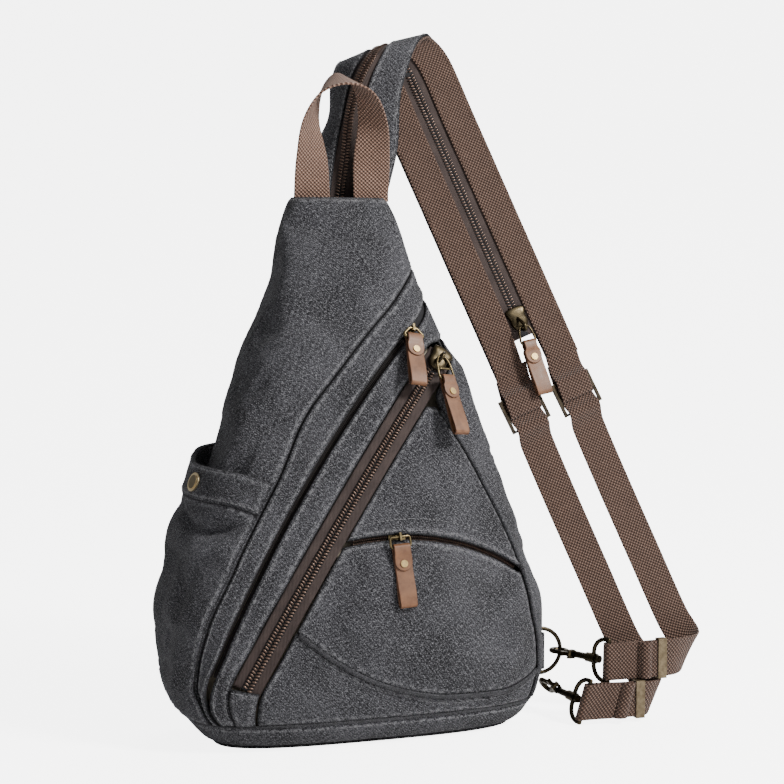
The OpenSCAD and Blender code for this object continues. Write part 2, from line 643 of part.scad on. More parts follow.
// stations: the two edge points
haul_stations = [
  [[-31, 35, 350], [-6.2, 35, 350]], [[-30.6, 31, 373], [-7, 38, 373]],
  [[-27.5, 25, 397], [-11.5, 42, 399]], [[-16.5, 20, 415], [-8, 44.5, 420]],
  [[2, 18, 421], [1.5, 44, 430]], [[20, 20, 415.5], [11.5, 39, 421]],
  [[31, 25, 397], [14.5, 37.5, 400]], [[34.6, 31, 373], [11, 37, 373]],
  [[35, 35, 350], [10.2, 35, 350]]];
module haul_loop() color(WEB) webbing_strip(haul_stations, 4);

// ---- Zipped part of the strap ----
strap_half = strap_width/2;
function strap_row(left_y, y) =
  [on_strap(-strap_half, left_y), on_strap(0, y), on_strap(strap_half, y)];
// stations: left edge, zip centre line, right edge
strap_stations = concat([
  [[-22, 49, 349], [4, 45.5, 349], [37, 44.5, 349]],
  [[-12, 63, 374], [7.8, 45, 376], [44.5, 44, 381]],
  [[5.5, 73, 401], [11, 44.5, 404], [46.5, 44, 414]],
  [[8, 75.5, 424], [18.8, 48, 427], [51.6, 46, 432]],
  [[10, 72.5, 436], [28.5, 52, 442.5], [60, 52, 449]],
  [[13, 70, 439], [39, 62, 451], [70.5, 60, 459]],
  [[19, 68.5, 436], [48, 69, 449], [80, 70, 459]]],
  [for (y=[185:-40:25]) strap_row(y, y)],
  [strap_row(-8, -8), strap_row(-42, -36)]);
strap_path = smooth(strap_stations, 4);
zip_share = strap_zip_half/strap_half; // share of each half under the tape
function left_half(rows) = [for (s=rows) [s[0], s[1]]];
function right_half(rows) = [for (s=rows) [s[1], s[2]]];

module strap_layer(low, high) {
  strip(strip_rings(left_half(strap_path), low, high, 0, 1-zip_share-0.02));
  strip(strip_rings(right_half(strap_path), low, high, zip_share+0.02, 1));
}
module strap_cover() color(CANVAS) strap_layer(-1.6, -0.42);
module strap_webbing() color(WEB) strap_layer(0.4, 0.4+webbing);
module strap_zip_tapes() color(TAPE) {
  rows = [for (i=[0:len(strap_path)-5]) strap_path[i]]; // all but the last span
  strip(strip_rings(left_half(rows), -1, -0.3, 1-zip_share, 0.98));
  strip(strip_rings(right_half(rows), -1, -0.3, 0.02, zip_share));
}
// straight run above the slider, then the bend down to the bag
module strap_zip_coil() color(METAL) {
  coil_half = 2.6;
  frame(strap_origin, strap_x, strap_z)
    translate([-coil_half, 9, -0.1]) cube([2*coil_half, 174, 1.6]);
  strip(strip_rings([for (i=[2:27]) let (s = strap_path[i], t = coil_half/strap_half)
    [lerp(s[1], s[0], t), lerp(s[1], s[2], t)]], 0.3, 1.5));
}

// flat wire frame with a middle bar
module adjuster(origin) {
  width = 31;
  height = 24;
  frame(origin, strap_x + strap_y*0.04, strap_z)
    translate([0, 0, -1]) linear_extrude(2) difference() {
      square([width, height], center=true);
      for (s=[-1, 1]) translate([0, s*(height/4-0.2)])
        square([width-4, height/2-2.8], center=true);
    }
}
module adjuster_left() color(METAL) adjuster(on_strap(-24.5, -59, 4.2));
module adjuster_right() color(METAL) adjuster(on_strap(16.5, -63, 4.2));

// ---- Single strands: under the adjusters, down, and forward round the swivel eyes ----
// flat run from a left edge x, through rows of [y, z] in the strap frame
function flat_run(left, rows) =
  [for (r=rows) [for (x=[left, left+webbing_width]) on_strap(x, r[0], r[1])]];
// fold rows are [edge point, vector across]; all of them are raised by 1.6
function fold(rows) = [for (r=rows) let (p = r[0] + [0, 0, 1.6]) [p, p+r[1]]];
function fold_flat(points, across) = [for (p=points) [p, across]];
function eye_wrap(centre) =
  [for (q=[[0.2, -2.8], [-2, -2], [-2.8, 0], [-2, 2], [0.2, 2.8]]) centre+[q[0], q[1], 0]];

right_across = [0.6, 0, 24.8];
right_stations = concat(
  flat_run(4, [[-46, 0.8], [-90, 0.8], [-135, 0], [-180, 0], [-225, 0]]),
  fold(concat([
    [[215.5, -23, 46.5], [22.5, 1.2, 10.8]], [[219.5, -27.5, 37], [19, 0, 16.2]],
    [[221, -34, 30.7], [14.5, -0.5, 20.3]], [[218, -41.5, 27.8], [9, -1.5, 23.2]],
    [[212, -47.2, 26.7], [3.6, -0.9, 24.5]], [[204.5, -50, 26.4], [1.2, 0, 24.8]],
    [[192, -50.9, 26.4], [0.8, 0, 24.8]]],
    fold_flat(concat([[178, -51, 26.4], [168, -50.8, 26.4]],
      eye_wrap([160.2, -48, 26.4]),
      [[166, -46.2, 26.4], [173, -48.6, 26.4], [182, -49.15, 26.4], [191, -49.1, 26.4]]),
      right_across),
    [[[199.5, -49, 26.4], [0.8, 0, 24.8]]])));

left_across = [7, 0, 23.3];
left_stations = concat(
  flat_run(-37, [[-42, 0.8], [-85, 0.8], [-130, 0], [-180, 0], [-225, 0]]),
  fold(concat([
    [[178.5, -26.5, 32], [23, 1.6, 9.5]], [[184.5, -31, 19], [20.5, 0, 14.3]],
    [[188.7, -37.5, 9], [16.5, 0, 18.2]], [[189.5, -44.7, 3.4], [12.3, 0.5, 20.8]],
    [[187.5, -51.2, 2.1], [10, 0.8, 22.3]], [[181.5, -54.6, 1.9], [8.3, 0.4, 23]],
    [[172, -55.1, 1.9], [7.3, 0.1, 23.3]]],
    fold_flat(concat([[160, -54.9, 1.9], [149, -54, 1.9]],
      eye_wrap([138.8, -51, 1.9]),
      [[148, -49.2, 1.9], [160, -52, 1.9], [171, -53, 1.9]]), left_across),
    [[[179.5, -52.8, 1.9], [7.6, 0.2, 23.1]]])));

module strand_right() color(WEB) webbing_strip(right_stations, 3);
module strand_left() color(WEB) webbing_strip(left_stations, 3);

// flat loop round both layers of a strand
module keeper(height, depth) translate([0, 0, -3.1]) linear_extrude(6.2) difference() {
  square([height, depth], center=true);
  square([height-1.3, depth-1.3], center=true);
}
module keeper_right() color(METAL)
  frame([198.6, -49.95, 40.4], [0.9, 0, 24.8], [-1, 0, 0]) keeper(26.8, 5.2);
module keeper_left() color(METAL)
  frame([180.4, -53.9, 15.1], [0, 0, 1], [-1, 0.04, 0]) keeper(25.2, 6);

// ---- D-ring: straight bar on Z, bow towards +X ----
ring_radius = dring_radius - 0.4; // centre line of the wire
module dring() color(METAL) translate(dring_centre) {
  cylinder(r=dring_wire, h=2*ring_radius, center=true);
  rotate([90, 0, 0]) rotate([0, 0, -90]) rotate_extrude(angle=180)
    translate([ring_radius, 0]) circle(r=dring_wire);
  for (s=[-1, 1]) translate([0, 0, s*ring_radius]) sphere(r=dring_wire);
}

// ---- Swivel eyes and trigger hooks ----
// clips: [eye centre, direction of the eye's bar, angle of the hook on the ring]
clip_a = [[160.5, -48, 40.4], [0.0242, 0, 1], -5];
clip_b = [[142.3, -51, 15.15], left_across, -50];
// direction from the eye to the ring, square to the bar
function reach(clip) =
  let (z = unit(clip[1]),
    d = dring_centre + ring_radius*[cos(clip[2]), 0, sin(clip[2])] - clip[0])
  unit(d - z*(d*z));

// D-shaped eye: bar on Z, loop towards -X, bored boss for the hook's stem
eye_length = 28.2;
eye_width = 12.5;
eye_corner = 10;
module swivel_eye(clip) frame(clip[0], -reach(clip), clip[1]) {
  half = eye_length/2;
  side = eye_width - eye_corner;
  cylinder(r=eye_wire, h=eye_length, center=true);
  for (s=[-1, 1]) {
    translate([0, 0, s*half]) sphere(r=eye_wire);
    translate([0, 0, s*half]) rotate([0, -90, 0]) cylinder(r=eye_wire, h=side+0.01);
    translate([-side, 0, s*(half-eye_corner)])
      rotate([90, 0, 0]) rotate([0, 0, s > 0 ? 90 : 180])
        rotate_extrude(angle=90) translate([eye_corner, 0]) circle(r=eye_wire);
  }
  difference() {
    union() {
      translate([-eye_width, 0, 0])
        cylinder(r=eye_wire, h=eye_length-2*eye_corner+0.02, center=true);
      rod(-eye_width-2.2, 3.4, 4.4);
    }
    rod(-eye_width-4, 1.75, 8);
  }
}
module eye_a() color(METAL) swivel_eye(clip_a);
module eye_b() color(METAL) swivel_eye(clip_b);

// stem on +X through the eye's boss; the bow round the ring's wire lies in XY
hook_length = 43.4; // eye's bar to the centre of the bow
bow_radius = 5.2;
bow_wire = 1.7;
pivot = [hook_length-13, 4.4, 0]; // of the trigger
module at_hook(clip) {
  x = reach(clip);
  along_ring = [-sin(clip[2]), 0, cos(clip[2])];
  frame(clip[0], x, along_ring - x*(along_ring*x)) children();
}
module hook(clip) at_hook(clip) {
  rod(eye_width-5.1, 2.6, 2.4);
  rod(eye_width-3, 1.45, 6.5);
  rod(eye_width+2.6, 3.2, 3.4);
  rod(eye_width+5.5, 2.3, hook_length-13-eye_width-5.6);
  rod(hook_length-14, 1.7, 14-bow_radius-0.2, y=-0.6);
  translate([hook_length, 0, 0]) rotate([0, 0, 180])
    rotate_extrude(angle=270) translate([bow_radius, 0]) circle(r=bow_wire);
  // ears and pin that carry the trigger
  for (s=[-1, 1]) {
    translate(pivot + [0, 0, s*2.3]) cylinder(r=1.6, h=1.2, center=true);
    translate([hook_length-14.6, 0, s*2.3-0.6]) cube([3.2, 4.4, 1.2]);
  }
  translate(pivot) cylinder(r=0.6, h=4.7, center=true);
}
module trigger(clip) at_hook(clip) translate(pivot) difference() {
  union() {
    cylinder(r=1.7, h=2.8, center=true);
    translate([0.4, -0.1, -1.4]) cube([11.8, 1.8, 2.8]);
    translate([2.6, 1.5, -1.4]) cube([1.9, 3.2, 2.8]);
  }
  cylinder(r=0.68, h=5, center=true);
}
module hook_a() color(METAL) hook(clip_a);
module hook_b() color(METAL) hook(clip_b);
module trigger_a() color(METAL) trigger(clip_a);
module trigger_b() color(METAL) trigger(clip_b);

back_panel();
back_padding();
upper_panel();
flap_strip();
centre_strip();
front_panel();
pocket_panel();
toe_panel();
right_gusset();
base_panel();
base_board();
zip_tab();
side_pocket();
side_pocket_band();
lining();
piping();
dring_tab();
main_zip_tapes();
main_zip_coil();
front_zip_tapes();
front_zip_coil();
pocket_zip_tapes();
pocket_zip_coil();
snap_cap();
haul_loop();
main_slider();
main_link();
main_pull();
main_rivet();
front_slider();
front_link();
front_pull();
front_rivet();
pocket_slider();
pocket_link();
pocket_pull();
pocket_rivet();
strap_slider();
strap_link();
strap_pull();
strap_rivet();
strap_cover();
strap_webbing();
strap_zip_tapes();
strap_zip_coil();
adjuster_left();
adjuster_right();
strand_left();
strand_right();
keeper_left();
keeper_right();
dring();
eye_a();
eye_b();
hook_a();
hook_b();
trigger_a();
trigger_b();
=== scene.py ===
import bpy, math
import numpy as np
from mathutils import Vector, Matrix, noise


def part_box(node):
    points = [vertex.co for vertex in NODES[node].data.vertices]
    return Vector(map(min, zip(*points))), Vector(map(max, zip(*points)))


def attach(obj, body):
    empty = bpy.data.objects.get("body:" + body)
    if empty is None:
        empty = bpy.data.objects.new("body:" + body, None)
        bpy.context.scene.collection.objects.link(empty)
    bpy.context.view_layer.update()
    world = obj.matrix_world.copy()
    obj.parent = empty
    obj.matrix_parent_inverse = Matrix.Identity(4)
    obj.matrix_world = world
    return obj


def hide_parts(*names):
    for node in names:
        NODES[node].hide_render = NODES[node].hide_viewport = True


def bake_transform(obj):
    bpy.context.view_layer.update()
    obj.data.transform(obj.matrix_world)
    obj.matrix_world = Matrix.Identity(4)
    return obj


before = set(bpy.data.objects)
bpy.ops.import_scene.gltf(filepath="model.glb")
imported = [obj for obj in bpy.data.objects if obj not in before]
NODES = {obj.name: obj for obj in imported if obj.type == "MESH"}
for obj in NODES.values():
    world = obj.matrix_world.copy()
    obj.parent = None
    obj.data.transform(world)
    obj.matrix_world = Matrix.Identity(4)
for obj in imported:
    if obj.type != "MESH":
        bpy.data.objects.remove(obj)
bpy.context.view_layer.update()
SC = bpy.context.scene
MM = 0.001

# ------------------------------------------------------------------ tables
def slopes(x, y):
    n = len(x); d = np.diff(y) / np.diff(x); h = np.diff(x); m = np.zeros(n)
    m[0], m[-1] = d[0], d[-1]
    for i in range(1, n - 1):
        if d[i - 1] * d[i] > 0:
            p = 2 * h[i] + h[i - 1]; q = h[i] + 2 * h[i - 1]
            m[i] = (p + q) / (p / d[i - 1] + q / d[i])
    return m
class Tab:
    def __init__(s, rows, key=0):
        a = np.array(rows, float); s.x = a[:, key].copy(); s.a = a
        s.m = [slopes(s.x, a[:, c]) if c != key else None for c in range(a.shape[1])]
    def __call__(s, x, c):
        x = np.clip(np.asarray(x, float), s.x[0], s.x[-1])
        i = np.clip(np.searchsorted(s.x, x, side="right") - 1, 0, len(s.x) - 2)
        h = s.x[i + 1] - s.x[i]; t = (x - s.x[i]) / h
        y = s.a[:, c]; m = s.m[c]
        return (2*t**3-3*t**2+1)*y[i]+(t**3-2*t**2+t)*h*m[i]+(3*t**2-2*t**3)*y[i+1]+(t**3-t**2)*h*m[i+1]
PROF = Tab([[0,98,-44,22],[6,107,-54,35],[14,113.5,-59,42],[26,119.5,-62,46],[44,124,-63,49],[76,123.7,-60,50],[116,113,-54,50],
        [176,92.1,-38,50],[236,71.8,-18,50],[296,48.3,3,50],[336,37,18,50],[348,32.2,24,50]])
def S(th, z, o=0.0, q=1.0):
    th, z, o, q = np.broadcast_arrays(*[np.asarray(v, float) for v in (th, z, o, q)])
    w = PROF(z, 1) - o; f = PROF(z, 2) + o; b = PROF(z, 3) - o
    yc = (f + b) / 2; h = (b - f) / 2
    s = np.sin(np.radians(th)); c = np.cos(np.radians(th)); n = np.where(c >= 0, 3.0, 5.0)
    r = q / (np.abs(s)**n + np.abs(c)**n)**(1/n)
    return np.stack([w*r*s, yc - h*r*c, z + 0*w], -1)
def inv(p):
    w, f, b = PROF(p[2],1), PROF(p[2],2), PROF(p[2],3); yc=(f+b)/2; h=(b-f)/2
    X = p[0]/w; Y = (yc-p[1])/h; n = 3 if Y >= 0 else 5
    return [p[2], math.degrees(math.atan2(X, Y)), (abs(X)**n+abs(Y)**n)**(1/n)]
def unit(v): v = np.asarray(v, float); return v/np.linalg.norm(v)
class Arc:
    def __init__(s, C, A, T, R, lean):
        s.C=np.array(C,float); s.A=unit(A); v=np.array(T,float)-s.C; s.e1=unit(v-s.A*(v@s.A)); s.e2=np.cross(s.A,s.e1); s.R=R; s.l=math.radians(lean)
    def __call__(s, al, w=0.0, o=0.0):
        a=math.radians(al); r=s.e1*math.cos(a)+s.e2*math.sin(a)
        return s.C+r*s.R+(s.A*math.cos(s.l)-r*math.sin(s.l))*w+(r*math.cos(s.l)+s.A*math.sin(s.l))*o
    def frame(s, al, o=0.0):
        p=s(al,0,o); t=unit(s(al+.2)-s(al-.2)); n=unit(s(al,0,1)-s(al)); return p,t,np.cross(n,t),n
a1 = Arc([180.02,273.07,-53.24],[-0.6527,0.689,0.315],[48.5,1.9,272],443.19,-28)
a2 = Arc([125.8,412.7,-61.37],[-0.7695,0.4525,0.4507],[50.1,-12.1,239.7],525.61,-18)
a3 = Arc([8.8,-0.9,-15],[0,-0.945,-0.328],[12,-51,130],154.9,56)
zb = 17.6; seam = 0.25; groove = 1.5; zhalf = 9.4
class Curve:
    def __init__(s, rows):
        s.z = Tab(rows); n=len(rows)
        s.i = Tab([[k/(n-1), r[0], r[1], r[2]] for k, r in enumerate(rows)])
    def atz(s, z, mm=0.0):
        z=np.asarray(z,float); return np.stack([s.z(z,1)+mm/(0.0175*PROF(z,1)), z, s.z(z,2)],-1)
    def ati(s, t, mm=0.0):
        z=s.i(t,1); return np.stack([s.i(t,2)+mm/(0.0175*PROF(z,1)), z-mm*0.9, s.i(t,3)],-1)
A_c = Curve([[zb,-56.5,1],[28,-58.2,1],[40,-59.6,1],[55,-58.1,1],[81,-52.7,1],[101,-49,1],[123,-45.6,1],[148,-40.9,1],[170,-36.2,1],[200,-30.4,1],
       [214,-25.5,1],[228,-17.8,1],[244,-7.3,1],[260,6.1,1],[274,21,1],[295,48.7,1],[306,90,1],[312,141,1],[348,141.5,1]])
def G_c(s): return Curve([[zb,-52.5-s*.5,1.02],[28,-53-s*.5,1.04]]+[inv(a1(al,s)) for al in range(-37,0,3)]+[[280+s*.8,66-s*.9,1],[285.5+s,90-s*.5,1],[290+s,141,1]])
w2 = zhalf+0.35
ZL = Curve([[zb,-46.4,1],[30,-45.6,1.02]]+[inv(a2(al,w2)) for al in range(-27,1,3)]+[inv(a2(1,w2)),[254,60,1],[259,90,1],[264,141,1]])
ZR = Curve([[zb,-39.2,1],[26,-38.2,1]]+[inv(a2(al,-w2)) for al in range(-27,1,3)]+[inv(a2(.6,-w2)),[246,57,1.02],[251.5,64,1],[257,90,1],[260,118,1]])
Pr = [[zb,56,1],[24,56,1],[40,54.3,1],[57,53.9,1],[81,50.5,1],[107,50.3,1],[132,48.1,1],[152,45.5,1],[177,41.7,1],[194,37.9,1],[206,34.6,1],[214,31.5,1]]
P_c = Curve(Pr)
PB = Tab([[0,-26,76.5],[.125,-22.3,69],[.25,-14.1,55],[.375,-5.4,44],[.5,3.9,36],[.625,19.7,29],[.75,36.4,28],[.875,46.8,33],[1,54.3,39.2]])
GL = Curve(Pr[:11]+[[217,33.6,1.01]]+[[z,float(ZR.z(z,1)),float(ZR.z(z,2))] for z in (226,233,240,246)]+[[251.5,64,1],[257,90,1],[260,118,1]])

# ------------------------------------------------------------------ meshes
def new_obj(name, V, F, smooth=True, flat=None, uv=None, attrs=None, mat=None, body="bag", repl=()):
    me = bpy.data.meshes.new(name); me.from_pydata([tuple(v) for v in np.asarray(V)*MM], [], [tuple(int(i) for i in f) for f in F])
    sm = np.full(len(me.polygons), bool(smooth)); 
    if flat is not None: sm[np.asarray(flat, int)] = False
    me.polygons.foreach_set("use_smooth", sm)
    if uv is not None:
        lay = me.uv_layers.new(name="UVMap"); li = np.zeros(len(me.loops), np.int32); me.loops.foreach_get("vertex_index", li)
        lay.data.foreach_set("uv", (np.asarray(uv)[li]*MM).astype(np.float32).ravel())
    for k, v in (attrs or {}).items():
        me.attributes.new(k, "FLOAT", "POINT").data.foreach_set("value", np.asarray(v, np.float32))
    me.validate(); me.update()
    o = bpy.data.objects.new(name, me); SC.collection.objects.link(o)
    if mat: o.data.materials.append(mat)
    if body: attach(o, body)
    if repl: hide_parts(*repl)
    return o
def grid_sheet(P, N, t_in, uv, attrs, m):
    """closed sheet from an outer grid P (n+1,m+1,3) with normals N; returns V, F, flat face ids, uv, attrs"""
    n1, m1 = P.shape[0], P.shape[1]; K = n1*m1
    V = np.concatenate([P.reshape(-1,3), (P-N*t_in).reshape(-1,3)])
    idx = np.arange(K).reshape(n1,m1)
    a=idx[:-1,:-1].ravel(); b=idx[1:,:-1].ravel(); c=idx[1:,1:].ravel(); d=idx[:-1,1:].ravel()
    F = [*zip(a,b,c,d)] + [*zip(a+K,d+K,c+K,b+K)]
    nf = len(F)
    for j0, rev in ((0,False),(m1-1,True)):
        r = idx[:, j0]
        for i in range(n1-1):
            q=(r[i],r[i]+K,r[i+1]+K,r[i+1]); F.append(q[::-1] if rev else q)
    for i0, rev in ((0,True),(n1-1,False)):
        r = idx[i0]
        for j in range(m1-1):
            q=(r[j],r[j]+K,r[j+1]+K,r[j+1]); F.append(q[::-1] if rev else q)
    return V, F, np.arange(nf, len(F)), np.concatenate([uv,uv]), {k: np.concatenate([v,v]) for k,v in attrs.items()}
def normals(P):
    du=np.gradient(P,axis=0); dv=np.gradient(P,axis=1); N=np.cross(du,dv); return N/np.maximum(np.linalg.norm(N,axis=-1,keepdims=True),1e-9)
def snoise(P, scale, seed=0.0):
    f=P.reshape(-1,3)/scale+seed
    return np.array([noise.noise(Vector(p)) for p in f]).reshape(P.shape[:-1])
def sim_sheet(P, pressure=0.6, grow=0.02, cap=4.0, pin=1):
    """Blender cloth on a grid with its border pinned; returns the displacement field in millimetres."""
    n1,m1=P.shape[:2]; idx=np.arange(n1*m1).reshape(n1,m1)
    F=[*zip(idx[:-1,:-1].ravel(),idx[1:,:-1].ravel(),idx[1:,1:].ravel(),idx[:-1,1:].ravel())]
    me=bpy.data.meshes.new("simtmp"); me.from_pydata([tuple(v) for v in P.reshape(-1,3)*MM],[],[tuple(int(i) for i in f) for f in F])
    o=bpy.data.objects.new("simtmp",me); SC.collection.objects.link(o)
    g=o.vertex_groups.new(name="pin"); edge=np.ones((n1,m1),bool); edge[pin:-pin,pin:-pin]=False
    g.add([int(i) for i in idx[edge]],1.0,"REPLACE")
    md=o.modifiers.new("c","CLOTH"); s=md.settings; s.quality=4; s.mass=0.25; s.tension_stiffness=25; s.compression_stiffness=25; s.shear_stiffness=8; s.bending_stiffness=0.9; s.air_damping=4
    s.vertex_group_mass="pin"; s.shrink_min=-grow; s.effector_weights.gravity=0; s.use_pressure=True; s.uniform_pressure_force=pressure
    md.collision_settings.use_collision=False; md.point_cache.frame_start=1; md.point_cache.frame_end=20
    for f in range(1,21): SC.frame_set(f)
    dg=bpy.context.evaluated_depsgraph_get(); ev=o.evaluated_get(dg); em=ev.to_mesh()
    co=np.zeros(len(em.vertices)*3,np.float32); em.vertices.foreach_get("co",co); ev.to_mesh_clear()
    D=co.reshape(n1,m1,3)/MM-P
    bpy.data.objects.remove(o); bpy.data.meshes.remove(me); SC.frame_set(1)
    if not np.isfinite(D).all(): return np.zeros_like(P)
    L=np.linalg.norm(D,axis=-1,keepdims=True); return D*np.minimum(1,cap/np.maximum(L,1e-6))
def resample(D, n1, m1):
    a,b=D.shape[:2]; x=np.linspace(0,a-1,n1); y=np.linspace(0,b-1,m1)
    xi=np.clip(x.astype(int),0,a-2); yi=np.clip(y.astype(int),0,b-2); fx=(x-xi); fy=(y-yi); fx=fx*fx*(3-2*fx); fy=fy*fy*(3-2*fy)
    fx=fx[:,None,None]; fy=fy[None,:,None]
    return (D[xi][:,yi]*(1-fx)*(1-fy)+D[xi+1][:,yi]*fx*(1-fy)+D[xi][:,yi+1]*(1-fx)*fy+D[xi+1][:,yi+1]*fx*fy)
def coons(L, R, B, T):
    n=B.shape[0]-1; m=L.shape[0]-1; s=np.linspace(0,1,n+1)[:,None,None]; t=np.linspace(0,1,m+1)[None,:,None]
    return (1-s)*L[None]+s*R[None]+(1-t)*B[:,None]+t*T[:,None]-((1-s)*(1-t)*B[0]+s*(1-t)*B[-1]+(1-s)*t*T[0]+s*t*T[-1])
def dists(P):
    """millimetres from each grid point to the four borders: left, right, bottom, top"""
    du=np.linalg.norm(np.diff(P,axis=0),axis=-1); dv=np.linalg.norm(np.diff(P,axis=1),axis=-1)
    cu=np.concatenate([np.zeros((1,P.shape[1])),np.cumsum(du,0)]); cv=np.concatenate([np.zeros((P.shape[0],1)),np.cumsum(dv,1)],1)
    return cu, cu[-1:]-cu, cv, cv[:,-1:]-cv
STITCH = []   # (points, normals) of each run of topstitching
def panel(name, L, R, B, T, mat, repl, wr=1.0, sim=None, thick=1.3, off=0.0, lift=None, roll=(1,1,1,1), rows=(), valley=0.9, seed=0.0, surf=None, puck=0.35):
    Q=coons(L,R,B,T); n1,m1=Q.shape[:2]
    P=S(Q[...,0],Q[...,1],off,Q[...,2]) if surf is None else surf(Q)
    N=normals(P); d=dists(P); dm=np.minimum.reduce([x if r else x*0+99 for x,r in zip(d,roll)]); dall=np.minimum.reduce(d)
    mask=1-np.exp(-(dall/14.0)**2)
    disp=wr*mask*(1.5*snoise(P,46,seed+3.1)+0.7*snoise(P,19,seed+7.7))
    along=snoise(P*np.array([1,1,1]),7.5,seed+11)
    disp+=puck*np.exp(-((dall-5)/5.0)**2)*along*(1-np.exp(-(dall/2.0)**2))*2
    if sim:
        cn,cm=sim.get("res",(30,36)); ii=np.linspace(0,n1-1,cn).round().astype(int); jj=np.linspace(0,m1-1,cm).round().astype(int)
        D=sim_sheet(P[ii][:,jj],sim.get("p",.6),sim.get("grow",.02),sim.get("cap",4.0))
        D=resample(D,n1,m1); dn=(D*N).sum(-1); P=P+N*(dn*mask)[...,None]+ (D-N*dn[...,None])*0.5*mask[...,None]
    if lift is not None: disp+=lift(Q,d)
    disp-=valley*np.exp(-(dm/1.5)**2)
    P=P+N*disp[...,None]
    N=normals(P)
    u0=PROF(Q[:1,:,1],1)*np.radians(Q[:1,:,0]); uv=np.stack([d[0]+u0, Q[...,1]],-1).reshape(-1,2)
    attrs={"edge":dall.reshape(-1)}
    V,F,flat,uv,attrs=grid_sheet(P,N,thick,uv,attrs,m1)
    o=new_obj(name,V,F,True,flat,uv,attrs,mat,"bag",repl)
    for side,dist in rows:
        k={"L":0,"R":1,"B":2,"T":3}[side]; pts=[];nn=[]
        if side in "LR":
            for j in range(m1):
                x=d[k][:,j]; 
                if side=="R": i=np.interp(dist,x[::-1],np.arange(n1)[::-1])
                else: i=np.interp(dist,x,np.arange(n1))
                a=int(min(i,n1-2)); f=i-a; pts.append(P[a,j]*(1-f)+P[a+1,j]*f); nn.append(N[a,j])
        else:
            for i in range(n1):
                x=d[k][i]
                if side=="T": j=np.interp(dist,x[::-1],np.arange(m1)[::-1])
                else: j=np.interp(dist,x,np.arange(m1))
                a=int(min(j,m1-2)); f=j-a; pts.append(P[i,a]*(1-f)+P[i,a+1]*f); nn.append(N[i,a])
        STITCH.append((np.array(pts),np.array(nn)))
    return P,N,Q,d
def capsule_template(seg=6):
    rings=[(-1.0,0.0),(-0.86,0.62),(-0.45,1.0),(0.45,1.0),(0.86,0.62),(1.0,0.0)]
    V=[];F=[]
    for k,(x,r) in enumerate(rings):
        if r==0: V.append((x,0,0)); continue
        for q in range(seg):
            a=2*math.pi*q/seg; V.append((x,r*math.cos(a),r*math.sin(a)))
    def rid(k,q): return 1+(k-1)*seg+q%seg
    for q in range(seg): F.append((0,rid(1,q+1),rid(1,q)))
    for k in (1,2,3):
        for q in range(seg): F.append((rid(k,q),rid(k,q+1),rid(k+1,q+1),rid(k+1,q)))
    last=len(V)-1
    for q in range(seg): F.append((last,rid(4,q),rid(4,q+1)))
    return np.array(V,float),F
def instances(name, tV, tF, mats, mat, body, repl=()):
    V=[];F=[];k=len(tV)
    for c,(M3,p) in enumerate(mats):
        V.append(tV@M3.T+p); F+= [tuple(i+c*k for i in f) for f in tF]
    return new_obj(name,np.concatenate(V),F,True,None,None,None,mat,body,repl)
def along(P, step, start=0.0, stop=None):
    L=np.concatenate([[0],np.cumsum(np.linalg.norm(np.diff(P,axis=0),axis=1))]); stop=L[-1] if stop is None else stop
    s=np.arange(start,stop,step); return np.stack([np.interp(s,L,P[:,c]) for c in range(3)],-1), s, L

